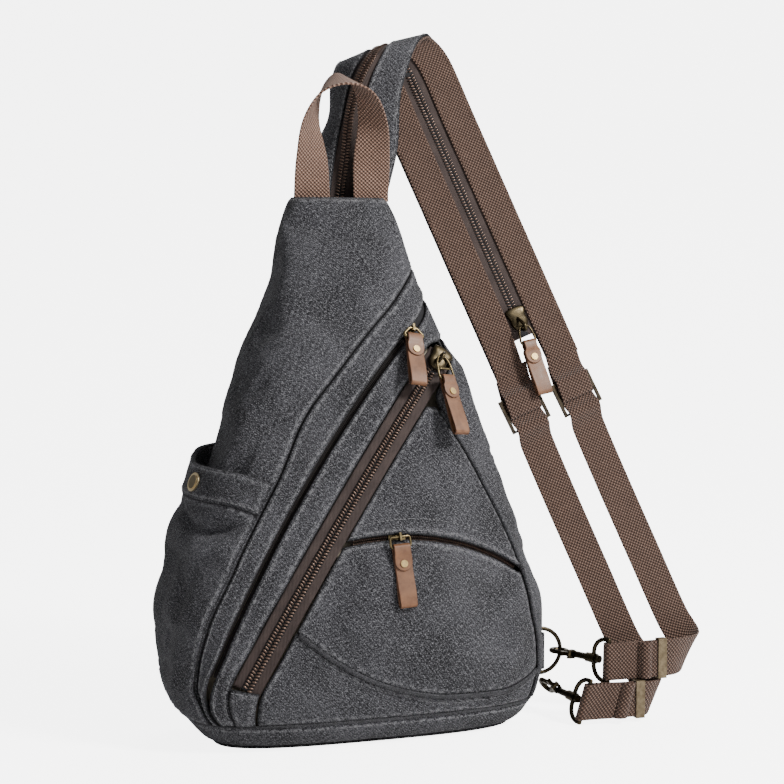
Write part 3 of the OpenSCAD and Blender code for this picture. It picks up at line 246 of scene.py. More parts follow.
# ------------------------------------------------------------------ materials
def nt(name):
    m=bpy.data.materials.new(name); m.use_nodes=True; t=m.node_tree; t.nodes.clear()
    out=t.nodes.new("ShaderNodeOutputMaterial"); b=t.nodes.new("ShaderNodeBsdfPrincipled"); t.links.new(b.outputs[0],out.inputs[0])
    return m,t,b
class G:
    def __init__(s,t): s.t=t
    def n(s,k,**kw):
        x=s.t.nodes.new(k)
        for a,v in kw.items(): setattr(x,a,v)
        return x
    def l(s,a,b): s.t.links.new(a,b)
    def val(s,x,inp):
        if hasattr(x,"is_output") or hasattr(x,"links"): s.l(x,inp)
        else: inp.default_value=x
    def math(s,op,a,b=0.0,c=None,clamp=False):
        x=s.n("ShaderNodeMath",operation=op,use_clamp=clamp); s.val(a,x.inputs[0]); s.val(b,x.inputs[1])
        if c is not None: s.val(c,x.inputs[2])
        return x.outputs[0]
    def mapr(s,x,a,b,c=0.0,d=1.0,smooth=False):
        m=s.n("ShaderNodeMapRange",interpolation_type="SMOOTHSTEP" if smooth else "LINEAR"); s.l(x,m.inputs[0])
        for i,v in enumerate((a,b,c,d)): m.inputs[i+1].default_value=v
        return m.outputs[0]
    def noise(s,vec,scale,detail=2.0,rough=.5,dist=0.0):
        x=s.n("ShaderNodeTexNoise"); s.l(vec,x.inputs["Vector"]); x.inputs["Scale"].default_value=scale; x.inputs["Detail"].default_value=detail; x.inputs["Roughness"].default_value=rough; x.inputs["Distortion"].default_value=dist
        return x.outputs[0]
    def mix(s,f,a,b,mode="MIX"):
        x=s.n("ShaderNodeMix",data_type="RGBA",blend_type=mode); s.val(f,x.inputs[0])
        for v,i in ((a,6),(b,7)):
            if isinstance(v,(tuple,list)): x.inputs[i].default_value=(*v,1) if len(v)==3 else v
            else: s.l(v,x.inputs[i])
        return x.outputs[2]
    def bump(s,h,strength,dist,base=None):
        x=s.n("ShaderNodeBump"); x.inputs["Strength"].default_value=strength; x.inputs["Distance"].default_value=dist; s.l(h,x.inputs["Height"])
        if base is not None: s.l(base,x.inputs["Normal"])
        return x.outputs[0]
    def uvrot(s,ang,sx,sy,obj=False):
        c=s.n("ShaderNodeTexCoord"); m=s.n("ShaderNodeMapping"); s.l(c.outputs["Object" if obj else "UV"],m.inputs[0]); m.inputs["Rotation"].default_value=(0,0,math.radians(ang)); m.inputs["Scale"].default_value=(sx,sy,1)
        return m.outputs[0]
    def sep(s,v):
        x=s.n("ShaderNodeSeparateXYZ"); s.l(v,x.inputs[0]); return x.outputs
    def attr(s,name):
        x=s.n("ShaderNodeAttribute"); x.attribute_name=name; return x.outputs["Fac"]
def canvas_mat(name="washed_canvas", dark=(0.0085,0.0085,0.0100), mid=(0.046,0.046,0.052), light=(0.30,0.30,0.32), gain=1.0):
    m,t,b=nt(name); g=G(t)
    uv=g.uvrot(0,1,1); x,y,_=g.sep(uv)
    wob=g.math("MULTIPLY",g.noise(uv,420,2,.6),6.0)
    warp=g.math("SINE",g.math("ADD",g.math("MULTIPLY",x,2*math.pi/0.00125),wob))
    weft=g.math("SINE",g.math("ADD",g.math("MULTIPLY",y,2*math.pi/0.00115),wob))
    twill=g.math("SINE",g.math("ADD",g.math("MULTIPLY",g.math("ADD",x,y),2*math.pi/0.0021),wob))
    weave=g.math("ADD",g.math("MULTIPLY",g.math("MULTIPLY",warp,weft),.6),g.math("MULTIPLY",twill,.4))
    yarn_h=g.noise(g.uvrot(4,420,1900),1.0,2,.7); yarn_v=g.noise(g.uvrot(-5,1900,520),1.0,2,.7); salt=g.noise(uv,2100,2,.8)
    grain=g.math("ADD",g.math("MULTIPLY",g.math("ADD",yarn_h,yarn_v),.34),g.math("MULTIPLY",salt,.42))
    grain=g.math("ADD",grain,g.math("MULTIPLY",weave,.035))
    wash=g.noise(uv,26,4,.6,.3)
    fac=g.mapr(g.math("ADD",grain,g.math("MULTIPLY",g.math("SUBTRACT",wash,.5),.22)),.49,.64,0,1)
    e=g.attr("edge")
    near=g.math("MULTIPLY",g.mapr(e,1.2,2.4,0,1,True),g.mapr(e,2.8,5.5,1,0,True))
    col=g.mix(g.math("MULTIPLY",fac,gain),dark,(mid[0]*2.0,mid[1]*2.0,mid[2]*2.0))
    col=g.mix(g.math("MULTIPLY",g.mapr(grain,.575,.66,0,1,True),.80),col,light)
    wear=g.math("MULTIPLY",near,g.mapr(g.math("ADD",g.noise(uv,300,2,.6),g.math("MULTIPLY",g.math("SUBTRACT",salt,.5),1.2)),.47,.66,0,.62,True))
    col=g.mix(wear,col,light)
    # painted shade: the canvas is darkened to near black within 1.2 mm of each panel edge, in the seam crevices
    col=g.mix(g.mapr(e,0.0,1.2,.85,0,True),col,(0.004,0.004,0.005))
    g.l(col,b.inputs["Base Color"]); b.inputs["Roughness"].default_value=.95; b.inputs["Specular IOR Level"].default_value=.12
    b.inputs["Sheen Weight"].default_value=.06; b.inputs["Sheen Roughness"].default_value=.5
    h=g.math("ADD",g.math("MULTIPLY",weave,.5),g.math("MULTIPLY",grain,3.0))
    n1=g.bump(g.noise(uv,110,3,.6),.4,.0010); g.l(g.bump(h,.8,.0004,n1),b.inputs["Normal"])
    return m
def webbing_mat(name, dark, mid, light, pitch=0.0027):
    m,t,b=nt(name); g=G(t); uv=g.uvrot(0,1,1); x,y,_=g.sep(uv)
    wob=g.math("MULTIPLY",g.noise(uv,260,1,.5),.9)
    sx=g.math("SINE",g.math("ADD",g.math("MULTIPLY",x,2*math.pi/pitch),wob)); sy=g.math("SINE",g.math("ADD",g.math("MULTIPLY",y,2*math.pi/(pitch*.95)),wob))
    w=g.math("MULTIPLY",sx,sy)
    blot=g.noise(uv,70,3,.6); fine=g.noise(uv,1400,2,.7)
    col=g.mix(g.mapr(g.math("ADD",w,g.math("MULTIPLY",g.math("SUBTRACT",fine,.5),1.3)),-.9,1.0,0,1),dark,mid)
    col=g.mix(g.math("MULTIPLY",g.mapr(g.math("ADD",w,g.math("MULTIPLY",g.math("SUBTRACT",fine,.5),1.6)),.35,1.1,0,1,True),.6),col,light)
    col=g.mix(g.mapr(blot,.3,.7,.22,0),col,(dark[0]*.6,dark[1]*.6,dark[2]*.6))
    g.l(col,b.inputs["Base Color"]); b.inputs["Roughness"].default_value=.82; b.inputs["Specular IOR Level"].default_value=.25; b.inputs["Sheen Weight"].default_value=.12
    g.l(g.bump(g.math("ADD",w,g.math("MULTIPLY",fine,.6)),.9,.0007),b.inputs["Normal"]); return m
def tape_mat():
    m,t,b=nt("zip_tape_weave"); g=G(t); uv=g.uvrot(0,1,1); x,y,_=g.sep(uv)
    rib=g.math("SINE",g.math("MULTIPLY",g.math("ADD",x,g.math("MULTIPLY",y,.6)),2*math.pi/.0010)); fine=g.noise(uv,1200,2,.7); bl=g.noise(uv,80,2,.5)
    col=g.mix(g.math("ADD",g.mapr(rib,-1,1,0,.45),g.math("MULTIPLY",fine,.4)),(0.012,0.007,0.006),(0.052,0.031,0.027))
    col=g.mix(g.mapr(bl,.4,.7,0,.3),col,(0.085,0.058,0.050))
    g.l(col,b.inputs["Base Color"]); b.inputs["Roughness"].default_value=.8; g.l(g.bump(rib,.4,.0003),b.inputs["Normal"]); return m
def coil_mat():
    m,t,b=nt("zip_coil_bronze"); g=G(t); v=g.uvrot(0,1,1,True); n=g.noise(v,900,2,.5)
    g.l(g.mix(n,(0.055,0.034,0.027),(0.20,0.135,0.105)),b.inputs["Base Color"]); b.inputs["Metallic"].default_value=.75; b.inputs["Roughness"].default_value=.30; return m
def brass_mat(name,a,c,hollow_shade,rough=.3,hollow_shade_amount=.6):
    m,t,b=nt(name); g=G(t); v=g.uvrot(0,1,1,True); n=g.noise(v,330,4,.6); n2=g.noise(v,1500,2,.6)
    geo=g.n("ShaderNodeNewGeometry"); pt=g.mapr(geo.outputs["Pointiness"],.47,.56,0,1,True)
    # painted shade: the metal is darkened towards the given shade colour where Pointiness is low, in its hollows
    col=g.mix(g.mapr(n,.35,.65,0,1,True),a,c); col=g.mix(g.math("MULTIPLY",g.math("SUBTRACT",1.0,pt),hollow_shade_amount),col,hollow_shade)
    g.l(col,b.inputs["Base Color"]); b.inputs["Metallic"].default_value=1.0
    g.l(g.mapr(n,.3,.7,rough,rough+.2),b.inputs["Roughness"]); g.l(g.bump(n2,.15,.0002),b.inputs["Normal"]); return m
def leather_mat():
    m,t,b=nt("waxed_leather"); g=G(t); v=g.uvrot(0,1,1,True); n=g.noise(v,120,4,.6,.3); vor=g.n("ShaderNodeTexVoronoi",feature="DISTANCE_TO_EDGE"); g.l(v,vor.inputs["Vector"]); vor.inputs["Scale"].default_value=1400
    fine=g.noise(v,700,3,.6); e=g.attr("edge")
    col=g.mix(g.mapr(n,.3,.7,0,1,True),(0.125,0.051,0.022),(0.207,0.092,0.042)); col=g.mix(g.mapr(fine,.4,.75,0,.25),col,(0.27,0.138,0.070))
    col=g.mix(g.mapr(e,.0,.9,.8,0,True),col,(0.045,0.016,0.008))
    g.l(col,b.inputs["Base Color"]); g.l(g.mapr(n,.3,.7,.38,.58),b.inputs["Roughness"]); b.inputs["Specular IOR Level"].default_value=.45
    n1=g.bump(vor.outputs["Distance"],.12,.0002); g.l(g.bump(n,.25,.0005,n1),b.inputs["Normal"]); return m
def plain_fabric(name,a,c,scale=500):
    m,t,b=nt(name); g=G(t); v=g.uvrot(0,1,1,True); n=g.noise(v,scale,3,.6); g.l(g.mix(n,a,c),b.inputs["Base Color"]); b.inputs["Roughness"].default_value=.9; g.l(g.bump(n,.3,.0003),b.inputs["Normal"]); return m
CANVAS=canvas_mat(); HEM=canvas_mat("canvas_hem",dark=(0.010,0.010,0.012),mid=(0.045,0.045,0.050),light=(.17,.17,.18))
WEB=webbing_mat("webbing_brown",(0.026,0.013,0.009),(0.150,0.082,0.057),(0.42,0.285,0.22))
WEBL=webbing_mat("webbing_light",(0.068,0.036,0.025),(0.36,0.208,0.150),(0.66,0.47,0.37))
TAPE=tape_mat(); TAPED=plain_fabric("dark_tape",(0.010,0.008,0.008),(0.026,0.020,0.019)); COIL=coil_mat(); LEATHER=leather_mat()
ANT=brass_mat("antique_brass",(0.24,0.185,0.095),(0.13,0.10,0.055),(0.03,0.025,0.015),.26,.7)
BRI=brass_mat("bright_brass",(0.52,0.37,0.17),(0.38,0.27,0.12),(0.16,0.11,0.05),.24,.4)
BRI2=brass_mat("lit_brass",(0.42,0.33,0.17),(0.26,0.20,0.10),(0.06,0.05,0.03),.24,.5)
PLATE=brass_mat("brushed_plate",(0.21,0.165,0.105),(0.145,0.112,0.07),(0.06,0.045,0.028),.36,.4)
LINE=plain_fabric("lining_cloth",(0.20,0.17,0.13),(0.30,0.26,0.20)); FOAM=plain_fabric("foam",(0.30,0.30,0.29),(0.42,0.42,0.40),200)
THREAD=plain_fabric("thread_grey",(0.07,0.07,0.075),(0.26,0.26,0.275),900); THREADB=plain_fabric("thread_brown",(0.10,0.06,0.045),(0.22,0.14,0.10),3000)
DKB=brass_mat("dark_bronze",(0.088,0.068,0.038),(0.045,0.036,0.022),(0.014,0.012,0.008),.26,.7)
BLK=brass_mat("blackened_bronze",(0.040,0.032,0.022),(0.022,0.018,0.013),(0.008,0.007,0.005),.34,.6)
# painted shade: near-black cloth, used only where shadow is wanted behind seams and under zip teeth
SHADOW_CLOTH=plain_fabric("deep_shadow_cloth",(0.006,0.006,0.008),(0.012,0.012,0.014))

# ------------------------------------------------------------------ bag body
lin=np.linspace
def hline(a,b,n): return a[None]+(b-a)[None]*lin(0,1,n+1)[:,None]
m=150; t=lin(0,1,m+1)
# back
n=70; L=np.stack([t*0+142.3,zb+(347.4-zb)*t,t*0+1],-1); R=L.copy(); R[:,0]=217.7
panel("vis_back_panel",L,R,hline(L[0],R[0],n),hline(L[-1],R[-1],n),CANVAS,["back_panel"],wr=.5,sim=dict(p=.25,grow=.012,cap=2,res=(20,34)),rows=[("L",4),("R",4)],seed=1,puck=.2,lift=lambda Q,d:-.9*np.exp(-((d[0]-26)/2.2)**2)-.9*np.exp(-((d[1]-26)/2.2)**2))
# upper panel
n=110; L=np.stack([t*0-141.7,zb+(348-zb)*t,t*0+1],-1); R=A_c.ati(t,-seam); R[0,1]=zb; R[-1]=[141.5,348,1]
def up_lift(Q,d): return -2.2*np.clip((348-Q[...,1])/6,0,1)**0*np.exp(-((348-Q[...,1])/2.5)**2)*0.35
panel("vis_upper_panel",L,R,hline(L[0],R[0],n),hline(L[-1],R[-1],n),CANVAS,["upper_panel"],wr=.9,sim=dict(p=.5,grow=.018,cap=3.2,res=(40,52)),rows=[("R",3.2)],seed=2,lift=up_lift)
# painted shade: near-black sheets behind the flap seam, the groove and the zip end, so the gaps read as shadow
n=8; ts=lin(.03,.965,151); L=A_c.ati(ts,-5); R=A_c.ati(ts,5)
panel("vis_seam_backing",L,R,hline(L[0],R[0],n),hline(L[-1],R[-1],n),SHADOW_CLOTH,[],wr=0,thick=.7,off=2.4,valley=0,puck=0)
ts=lin(.79,1,60); Gq=G_c(0); L=Gq.ati(ts,-5); R=Gq.ati(ts,5)
panel("vis_groove_backing",L,R,hline(L[0],R[0],n),hline(L[-1],R[-1],n),SHADOW_CLOTH,[],wr=0,thick=.7,off=2.4,valley=0,puck=0)
L=ZL.ati(lin(.86,1,60),-5); R=ZR.ati(lin(.82,1,60),5); R[-1,1]=141
panel("vis_zip_end_backing",L,R,hline(L[0],R[0],n),hline(L[-1],R[-1],n),SHADOW_CLOTH,[],wr=0,thick=.7,off=2.6,valley=0,puck=0)
# storm flap
n=12; L=A_c.ati(t*17/18,seam); L[0,1]=zb; Gp=G_c(groove); R=Gp.ati(t,-seam); R[0,1]=zb
panel("vis_flap_strip",L,R,hline(L[0],R[0],n),hline(L[-1],R[-1],n),CANVAS,["flap_strip"],wr=.15,rows=[("L",2.8),("R",2.6)],seed=3,puck=.25,lift=lambda Q,d:.55*np.exp(-((d[1]-2.0)/2.0)**2))
Gm=G_c(-groove); L=Gm.ati(t,seam); L[0,1]=zb; R=ZL.ati(t,0); R[0,1]=zb
panel("vis_centre_strip",L,R,hline(L[0],R[0],14),hline(L[-1],R[-1],14),CANVAS,["centre_strip"],wr=.2,rows=[("L",2.6),("R",2.4)],seed=4,puck=.25)
# front panel between pocket zip and front zip
PK0,PK1=13,-34.6
def pk(al,s): i=inv(a3(al,s)); return [i[1],i[0],i[2]]
n=60; B=np.array([pk(PK0+(PK1-PK0)*k/n,-groove-.05) for k in range(n+1)]); tt=lin(0,1,61)
L=ZR.atz(B[0,1]+(211.5-B[0,1])*tt,0); R=P_c.atz(B[-1,1]+(211.5-B[-1,1])*tt,-seam); B[0]=L[0]; B[-1]=R[0]
panel("vis_front_panel",L,R,B,hline(L[-1],R[-1],n),CANVAS,["front_panel"],wr=.7,rows=[("B",2.8),("B",10.5)],seed=5,lift=lambda Q,d:1.0*np.exp(-((d[2]-2.2)/2.6)**2))
T=np.array([pk(PK0+.2+(PK1-PK0-.2)*k/n,groove+.05) for k in range(n+1)]); s=lin(0,1,n+1); B=np.stack([PB(s,1),PB(s,2)+.35,s*0+1],-1)
L=ZR.atz(B[0,1]+(T[0,1]-B[0,1])*tt,0); R=P_c.atz(B[-1,1]+(T[-1,1]-B[-1,1])*tt,-seam*2.5); T[0]=L[-1];T[-1]=R[-1];B[0]=L[0];B[-1]=R[0]
panel("vis_pocket_panel",L,R,B,T,CANVAS,["pocket_panel"],wr=1.0,sim=dict(p=.9,grow=.02,cap=3.5,res=(34,28)),rows=[("T",2.8)],seed=6)
T=np.stack([PB(s,1),PB(s,2)-.35,s*0+1],-1); tq=lin(0,1,25)
L=ZR.atz(zb+(T[0,1]-zb)*tq,0); R=P_c.atz(zb+(T[-1,1]-zb)*tq,-seam); T[0]=L[-1];T[-1]=R[-1]
panel("vis_toe_panel",L,R,hline(L[0],R[0],n),T,CANVAS,["toe_panel"],wr=.8,rows=[("T",4.2)],seed=7)
# gusset
tg=lin(0,1,111); L=GL.ati(tg,seam); L[0,1]=zb; R=np.stack([tg*0+141.7,zb+(261.5-zb)*tg,tg*0+1],-1)
panel("vis_right_gusset",L,R,hline(L[0],R[0],46),hline(L[-1],R[-1],46),CANVAS,["right_gusset"],wr=1.0,sim=dict(p=.5,grow=.02,cap=3.0,res=(24,44)),rows=[("R",4)],seed=8)
# zip end tab
tz=lin(0,1,13); L=ZL.atz(zb+(43-zb)*tz,.6); R=ZR.atz(zb+(39-zb)*tz,-.6)
panel("vis_zip_tab",L,R,hline(L[0],R[0],10),hline(L[-1],R[-1],10),CANVAS,["zip_tab"],wr=.1,off=-1.1,thick=1.2,rows=[("T",2.2)],seed=9,valley=.5,puck=.05)
# base band and bottom
tb=lin(0,1,15); nb=180
L=np.stack([tb*0-180,1.4+(17.1-1.4)*tb,tb*0+1],-1); R=L.copy(); R[:,0]=180
panel("vis_base_panel",L,R,hline(L[0],R[0],nb),hline(L[-1],R[-1],nb),CANVAS,["base_panel"],wr=.25,roll=(0,0,0,1),rows=[("T",3.0)],seed=10,puck=.2,
      lift=lambda Q,d:-.7*np.exp(-((Q[...,1]-1.4)/1.6)**2))
ring=S(lin(0,355,72),1.3,0.6); cz=np.concatenate([ring*[1,1,0]+[0,0,.35],ring*[.96,.96,0]+[0,ring[:,1].mean()*.04,.05],[[0,ring[:,1].mean(),.05]],ring*[1,1,0]+[0,0,1.5],[[0,ring[:,1].mean(),1.6]]])
F=[];K=72
for k in range(K):
    b=(k+1)%K; F+=[(k,K+k,K+b,b),(K+k,2*K,K+b),(k,b,2*K+1+b,2*K+1+k),(2*K+1+k,2*K+1+b,3*K+1)]
new_obj("vis_base_bottom",cz,F,False,None,cz[:,:2],{"edge":np.full(len(cz),9.0)},HEM,"bag",[])
# side pocket
def sag(Q,d):
    th_=Q[...,0]; z_=Q[...,1]; top=LO(th_,1); g1=1/(1+np.exp(-(th_+112)/5.0)); u_=np.clip((th_+100)/58,0,1)
    zc=top-7-9*np.sin(math.pi*np.clip(u_*.9+.05,0,1)); m_=1/(1+np.exp((th_+47)/3.0))
    out=-6.0*np.exp(-((z_-zc)/3.6)**2)*g1*m_*(.55+.45*np.sin(math.pi*u_)) + 2.4*np.exp(-((z_-(zc-15))/9.0)**2)*g1*m_
    out+=-1.8*np.exp(-((th_+72+(z_-90)*.22)/5.0)**2)*np.exp(-((z_-100)/30.0)**2)-1.4*np.exp(-((th_+98-(z_-80)*.15)/4.5)**2)*np.exp(-((z_-85)/34.0)**2)
    return out
def bulge(th,z):
    g_=np.exp(-((th+100)/32)**2); tt_=np.clip((z-60)/110,0,1); h_=tt_*tt_*(3-2*tt_); return .6+g_*(1.6+8.6*h_)
LO=Tab([[-141,159],[-112,156.5],[-85,155],[-59,153.6],[-45.3,150],[-40.8,146.5]]); HI=Tab([[-141,186],[-120,183],[-98,177.5],[-55,174],[-42,170],[-37,167]])
def sbsurf(e): return lambda Q: S(Q[...,0],Q[...,1],-bulge(Q[...,0],Q[...,1])-e)
n=56; x=lin(-141,-41.2,n+1); T=np.stack([x,LO(x,1)+1.2,x*0+1],-1); ts=lin(0,1,61)
L=np.stack([ts*0-141,zb+(T[0,1]-zb)*ts,ts*0+1],-1); R=A_c.atz(zb+(T[-1,1]-zb)*ts,-.7); T[-1]=R[-1]
panel("vis_side_pocket",L,R,hline(L[0],R[0],n),T,CANVAS,["side_pocket"],wr=1.3,surf=sbsurf(1.3),sim=dict(p=.6,grow=.03,cap=4.0,res=(34,32)),rows=[("R",3.0)],seed=11,roll=(1,1,1,0),lift=sag)
B=np.stack([x,LO(x,1)+.2,x*0+1],-1); xh=lin(-141,-37.6,n+1); T=np.stack([xh,HI(xh,1),xh*0+1],-1)
panel("vis_pocket_band",hline(B[0],T[0],14),hline(B[-1],T[-1],14),B,T,CANVAS,["side_pocket_band"],wr=.7,surf=sbsurf(2.7),thick=2.2,rows=[("T",2.6),("B",2.6)],seed=12,valley=.7,puck=.3)
# top closure
ring=S(lin(0,355,72),347.2,1.2); cen=np.array([0,ring[:,1].mean(),346.2])
V=np.concatenate([ring,(ring-cen)*.6+cen+[0,0,-.4],[cen],ring-[0,0,1.2],[cen-[0,0,1.4]]]); F=[]
for k in range(K):
    b=(k+1)%K; F+=[(k,b,K+b,K+k),(K+k,K+b,2*K),(k,2*K+1+k,2*K+1+b,b),(2*K+1+b,2*K+1+k,3*K+1)]
new_obj("vis_top_closure",V,F,True,None,V[:,:2],{"edge":np.full(len(V),9.0)},HEM,"bag",[])
# piping
def tube(name,P,r,mat,body="bag",repl=(),seg=10,uvs=True,closed=False):
    P=np.asarray(P,float); nP=len(P); V=[];F=[];U=[]
    L=np.concatenate([[0],np.cumsum(np.linalg.norm(np.diff(P,axis=0),axis=1))])
    up=None
    for i in range(nP):
        a=P[max(i-1,0)] if not closed else P[(i-1)%nP]; b=P[min(i+1,nP-1)] if not closed else P[(i+1)%nP]
        tq_=unit(b-a); 
        if up is None: up=unit(np.cross(tq_,[0,0,1] if abs(tq_[2])<.9 else [1,0,0]))
        up=unit(up-tq_*(up@tq_)); v=np.cross(tq_,up); rr=r[i] if hasattr(r,"__len__") else r
        for k in range(seg): a_=2*math.pi*k/seg; V.append(P[i]+rr*(up*math.cos(a_)+v*math.sin(a_))); U.append((r if not hasattr(r,"__len__") else r[i])*a_); U.append(L[i])
    for i in range(nP-1 if not closed else nP):
        j=(i+1)%nP
        for k in range(seg): b_=(k+1)%seg; F.append((i*seg+k,i*seg+b_,j*seg+b_,j*seg+k))
    if not closed: F.append(tuple(range(seg))[::-1]); F.append(tuple((nP-1)*seg+k for k in range(seg)))
    return new_obj(name,V,F,True,None,np.array(U).reshape(-1,2),{"edge":np.full(len(V),5.0)},mat,body,repl)
zz=lin(20,209,90); c=P_c.atz(zz,0); tube("vis_piping_side",S(c[:,0],c[:,1],-.75,c[:,2]),1.35,HEM,repl=["piping"])
ss=lin(.03,.975,80); tube("vis_piping_pocket",S(PB(ss,1),PB(ss,2),-.8,1),1.45,HEM)
th=lin(-180,176,120); tube("vis_base_seam",S(th,17.3,.35,1),.9,HEM,closed=True,seg=8)

# ------------------------------------------------------------------ zips
TV,TF=capsule_template(8)
def band(name,arc_,a0,a1_,s0,s1,o,repl,mat=TAPE,thick=.8,wav=.12,nn=160):
    al=lin(a0,a1_,nn); ww=lin(s0,s1,7)
    P=np.array([[arc_(a_,w_,o+wav*math.sin(a_*2.1+w_)) for w_ in ww] for a_ in al]); 
    P=P.transpose(1,0,2) if True else P
    N=normals(P)
    if (N[3,5]@(arc_(al[5],0,1)-arc_(al[5],0,0)))<0: P=P[::-1]; N=normals(P)
    d=dists(P); uv=np.stack([d[0],d[2]],-1).reshape(-1,2)
    V,F,flat,uv,at=grid_sheet(P,N,thick,uv,{"edge":d[0].reshape(-1)},P.shape[1])
    return new_obj(name,V,F,True,flat,uv,at,mat,"bag",repl)
def teeth(name,arc_,a0,a1_,o,repl,pitch=1.35,half=2.5,body="bag",hgt=.62,th=.44,mat=None):
    st=math.degrees(pitch/arc_.R); M=[]
    for k,al in enumerate(np.arange(a0,a1_,st)):
        for sd in (-1,1):
            p,t_,l_,n_=arc_.frame(al+(st/2 if sd>0 else 0),o)
            ax=unit(l_*sd+t_*.22); c_=p+l_*sd*(half*.5+.12); b_=unit(np.cross(ax,n_)); R3=np.stack([ax*half*.52,b_*th,np.cross(ax,b_)*hgt],1); M.append((R3,c_))
    return instances(name,TV,TF,M,mat or COIL,body,repl)
band("vis_front_tape_l",a2,-27.1,.9,.25,9.1,-.6,["front_zip_tapes"]); band("vis_front_tape_r",a2,-27.3,.2,-9.0,-.25,-.6,[])
teeth("vis_front_teeth",a2,-27.0,-.9,.25,["front_zip_coil"],pitch=2.1,half=3.3,hgt=.85,th=.66)
# painted shade: a near-black strip under the front zip teeth, so the gaps between them read dark
band("vis_front_core",a2,-27.1,-.6,-3.5,3.5,-.35,[],mat=SHADOW_CLOTH,thick=.2,wav=0)
band("vis_main_tape_l",a1,-36.4,-.9,.2,4.6,-4.6,["main_zip_tapes"],mat=TAPED); band("vis_main_tape_r",a1,-36.4,-.9,-4.6,-.2,-4.6,[],mat=TAPED)
teeth("vis_main_teeth",a1,-36.2,-3.4,-4.0,["main_zip_coil"],half=1.8,hgt=.42,mat=TAPED)
band("vis_pocket_tape_l",a3,-33.6,11.6,.2,4.6,-4.6,["pocket_zip_tapes"]); band("vis_pocket_tape_r",a3,-33.6,11.6,-4.6,-.2,-4.6,[])
teeth("vis_pocket_teeth",a3,-33.2,-1.8,-4.0,["pocket_zip_coil"],half=1.8,hgt=.42); teeth("vis_pocket_teeth_b",a3,2.8,11.2,-4.0,[],half=1.8,hgt=.42)

# ------------------------------------------------------------------ ribbons: webbing, leather, folded cloth
def crom(P, k):
    P=[np.asarray(p,float) for p in P]; n=len(P)-1; out=[]
    for i in range(n):
        p0,p1,p2,p3=P[max(i-1,0)],P[i],P[i+1],P[min(i+2,n)]
        for j in range(k):
            t_=j/k; out.append(0.5*((2*p1)+(p2-p0)*t_+(2*p0-5*p1+4*p2-p3)*t_*t_+(3*p1-p0-3*p2+p3)*t_**3))
    out.append(P[-1]); return np.array(out)
def ribbon(name,E,a,b,mat,body="bag",repl=(),slot=None,s0=0.0,s1=1.0,nw=13,r=None,wave=0.0,seed=0.0,face=1,edge_w=1.0,belly=0.0,puff=0.0):
    """closed strip between edge points E[:,0] and E[:,1], faces at a<b along the normal, with rounded edges"""
    E=np.asarray(E,float); n=len(E)
    c=np.zeros((n,3)); c[1:-1]=(E[2:]-E[:-2]).sum(1); c[0]=(E[1]-E[0]).sum(0); c[-1]=(E[-1]-E[-2]).sum(0)
    w=E[:,1]-E[:,0]; N=np.cross(c,w); N/=np.linalg.norm(N,axis=1,keepdims=True)
    th=(b-a); r=th*.5 if r is None else r
    x=np.concatenate([[0,.35*r,r],np.linspace(r*1.8,1e9,2)[:1]])  # placeholder spacing replaced below
    W=np.linalg.norm(w,axis=1)*(s1-s0); Wm=float(W.mean())
    f=np.concatenate([[0,.12*r/Wm*2,.45*r/Wm*2,r/Wm*1.6],np.linspace(min(.3,2.4*r/Wm),1-min(.3,2.4*r/Wm),nw),[1-r/Wm*1.6,1-.45*r/Wm*2,1-.12*r/Wm*2,1]])
    f=np.unique(np.clip(f,0,1)); L_=np.concatenate([[0],np.cumsum(np.linalg.norm(np.diff(E.mean(1),axis=0),axis=1))])
    top=[];bot=[];UV=[];ed=[]
    for fi in f:
        d=np.minimum(fi,1-fi)*W; q=np.clip((r-d)/r,0,1); h=np.sqrt(np.clip(1-q*q,0,1)); mid=(a+b)/2
        p=E[:,0]+w*(s0+(s1-s0)*fi); wv=np.zeros(n)
        if wave: wv=np.array([noise.noise(Vector((l/22+seed,fi*1.2,seed)))*wave for l in L_])
        wv=wv+belly*(1-(2*fi-1)**2)
        top.append(p+N*(mid+(b-mid)*h+wv+puff*(1-abs(2*fi-1)**4)*1.0)[:,None]); bot.append(p+N*(mid+(a-mid)*h+wv)[:,None]); UV.append(np.stack([fi*W,L_],-1)); ed.append(d*edge_w)
    top=np.array(top);bot=np.array(bot);nf=len(f)
    V=np.concatenate([top.reshape(-1,3),bot.reshape(-1,3)]); K=nf*n; idx=np.arange(K).reshape(nf,n)
    A_,B_,C_,D_=idx[:-1,:-1].ravel(),idx[1:,:-1].ravel(),idx[1:,1:].ravel(),idx[:-1,1:].ravel()
    F=[*zip(A_,D_,C_,B_)]+[*zip(A_+K,B_+K,C_+K,D_+K)]; k0=len(F)
    for j in (0,nf-1):
        for i in range(n-1):
            q=(idx[j,i],idx[j,i+1],idx[j,i+1]+K,idx[j,i]+K); F.append(q[::-1] if j==0 else q)
    for i in (0,n-1):
        for j in range(nf-1):
            q=(idx[j,i],idx[j+1,i],idx[j+1,i]+K,idx[j,i]+K); F.append(q if i==0 else q[::-1])
    uv=np.array(UV).reshape(-1,2); e=np.array(ed).reshape(-1)
    o=new_obj(name,V,F,True,None,np.concatenate([uv,uv]),{"edge":np.concatenate([e,e])},mat,body,repl)
    bm=bmesh.new(); bm.from_mesh(o.data); bmesh.ops.remove_doubles(bm,verts=bm.verts,dist=2e-6); bmesh.ops.recalc_face_normals(bm,faces=bm.faces); bm.to_mesh(o.data); bm.free()
    return o,top,N
import bmesh
SO=np.array([127.52,30.79,265.45]); SX=unit([0.9378,0.0826,0.3372]); SU=unit([-0.3472,0.2232,0.9109]); SN=np.cross(SX,SU)
def sp(a,b,c=0.0): return SO+SX*a+SU*b+SN*c
hw=32.8
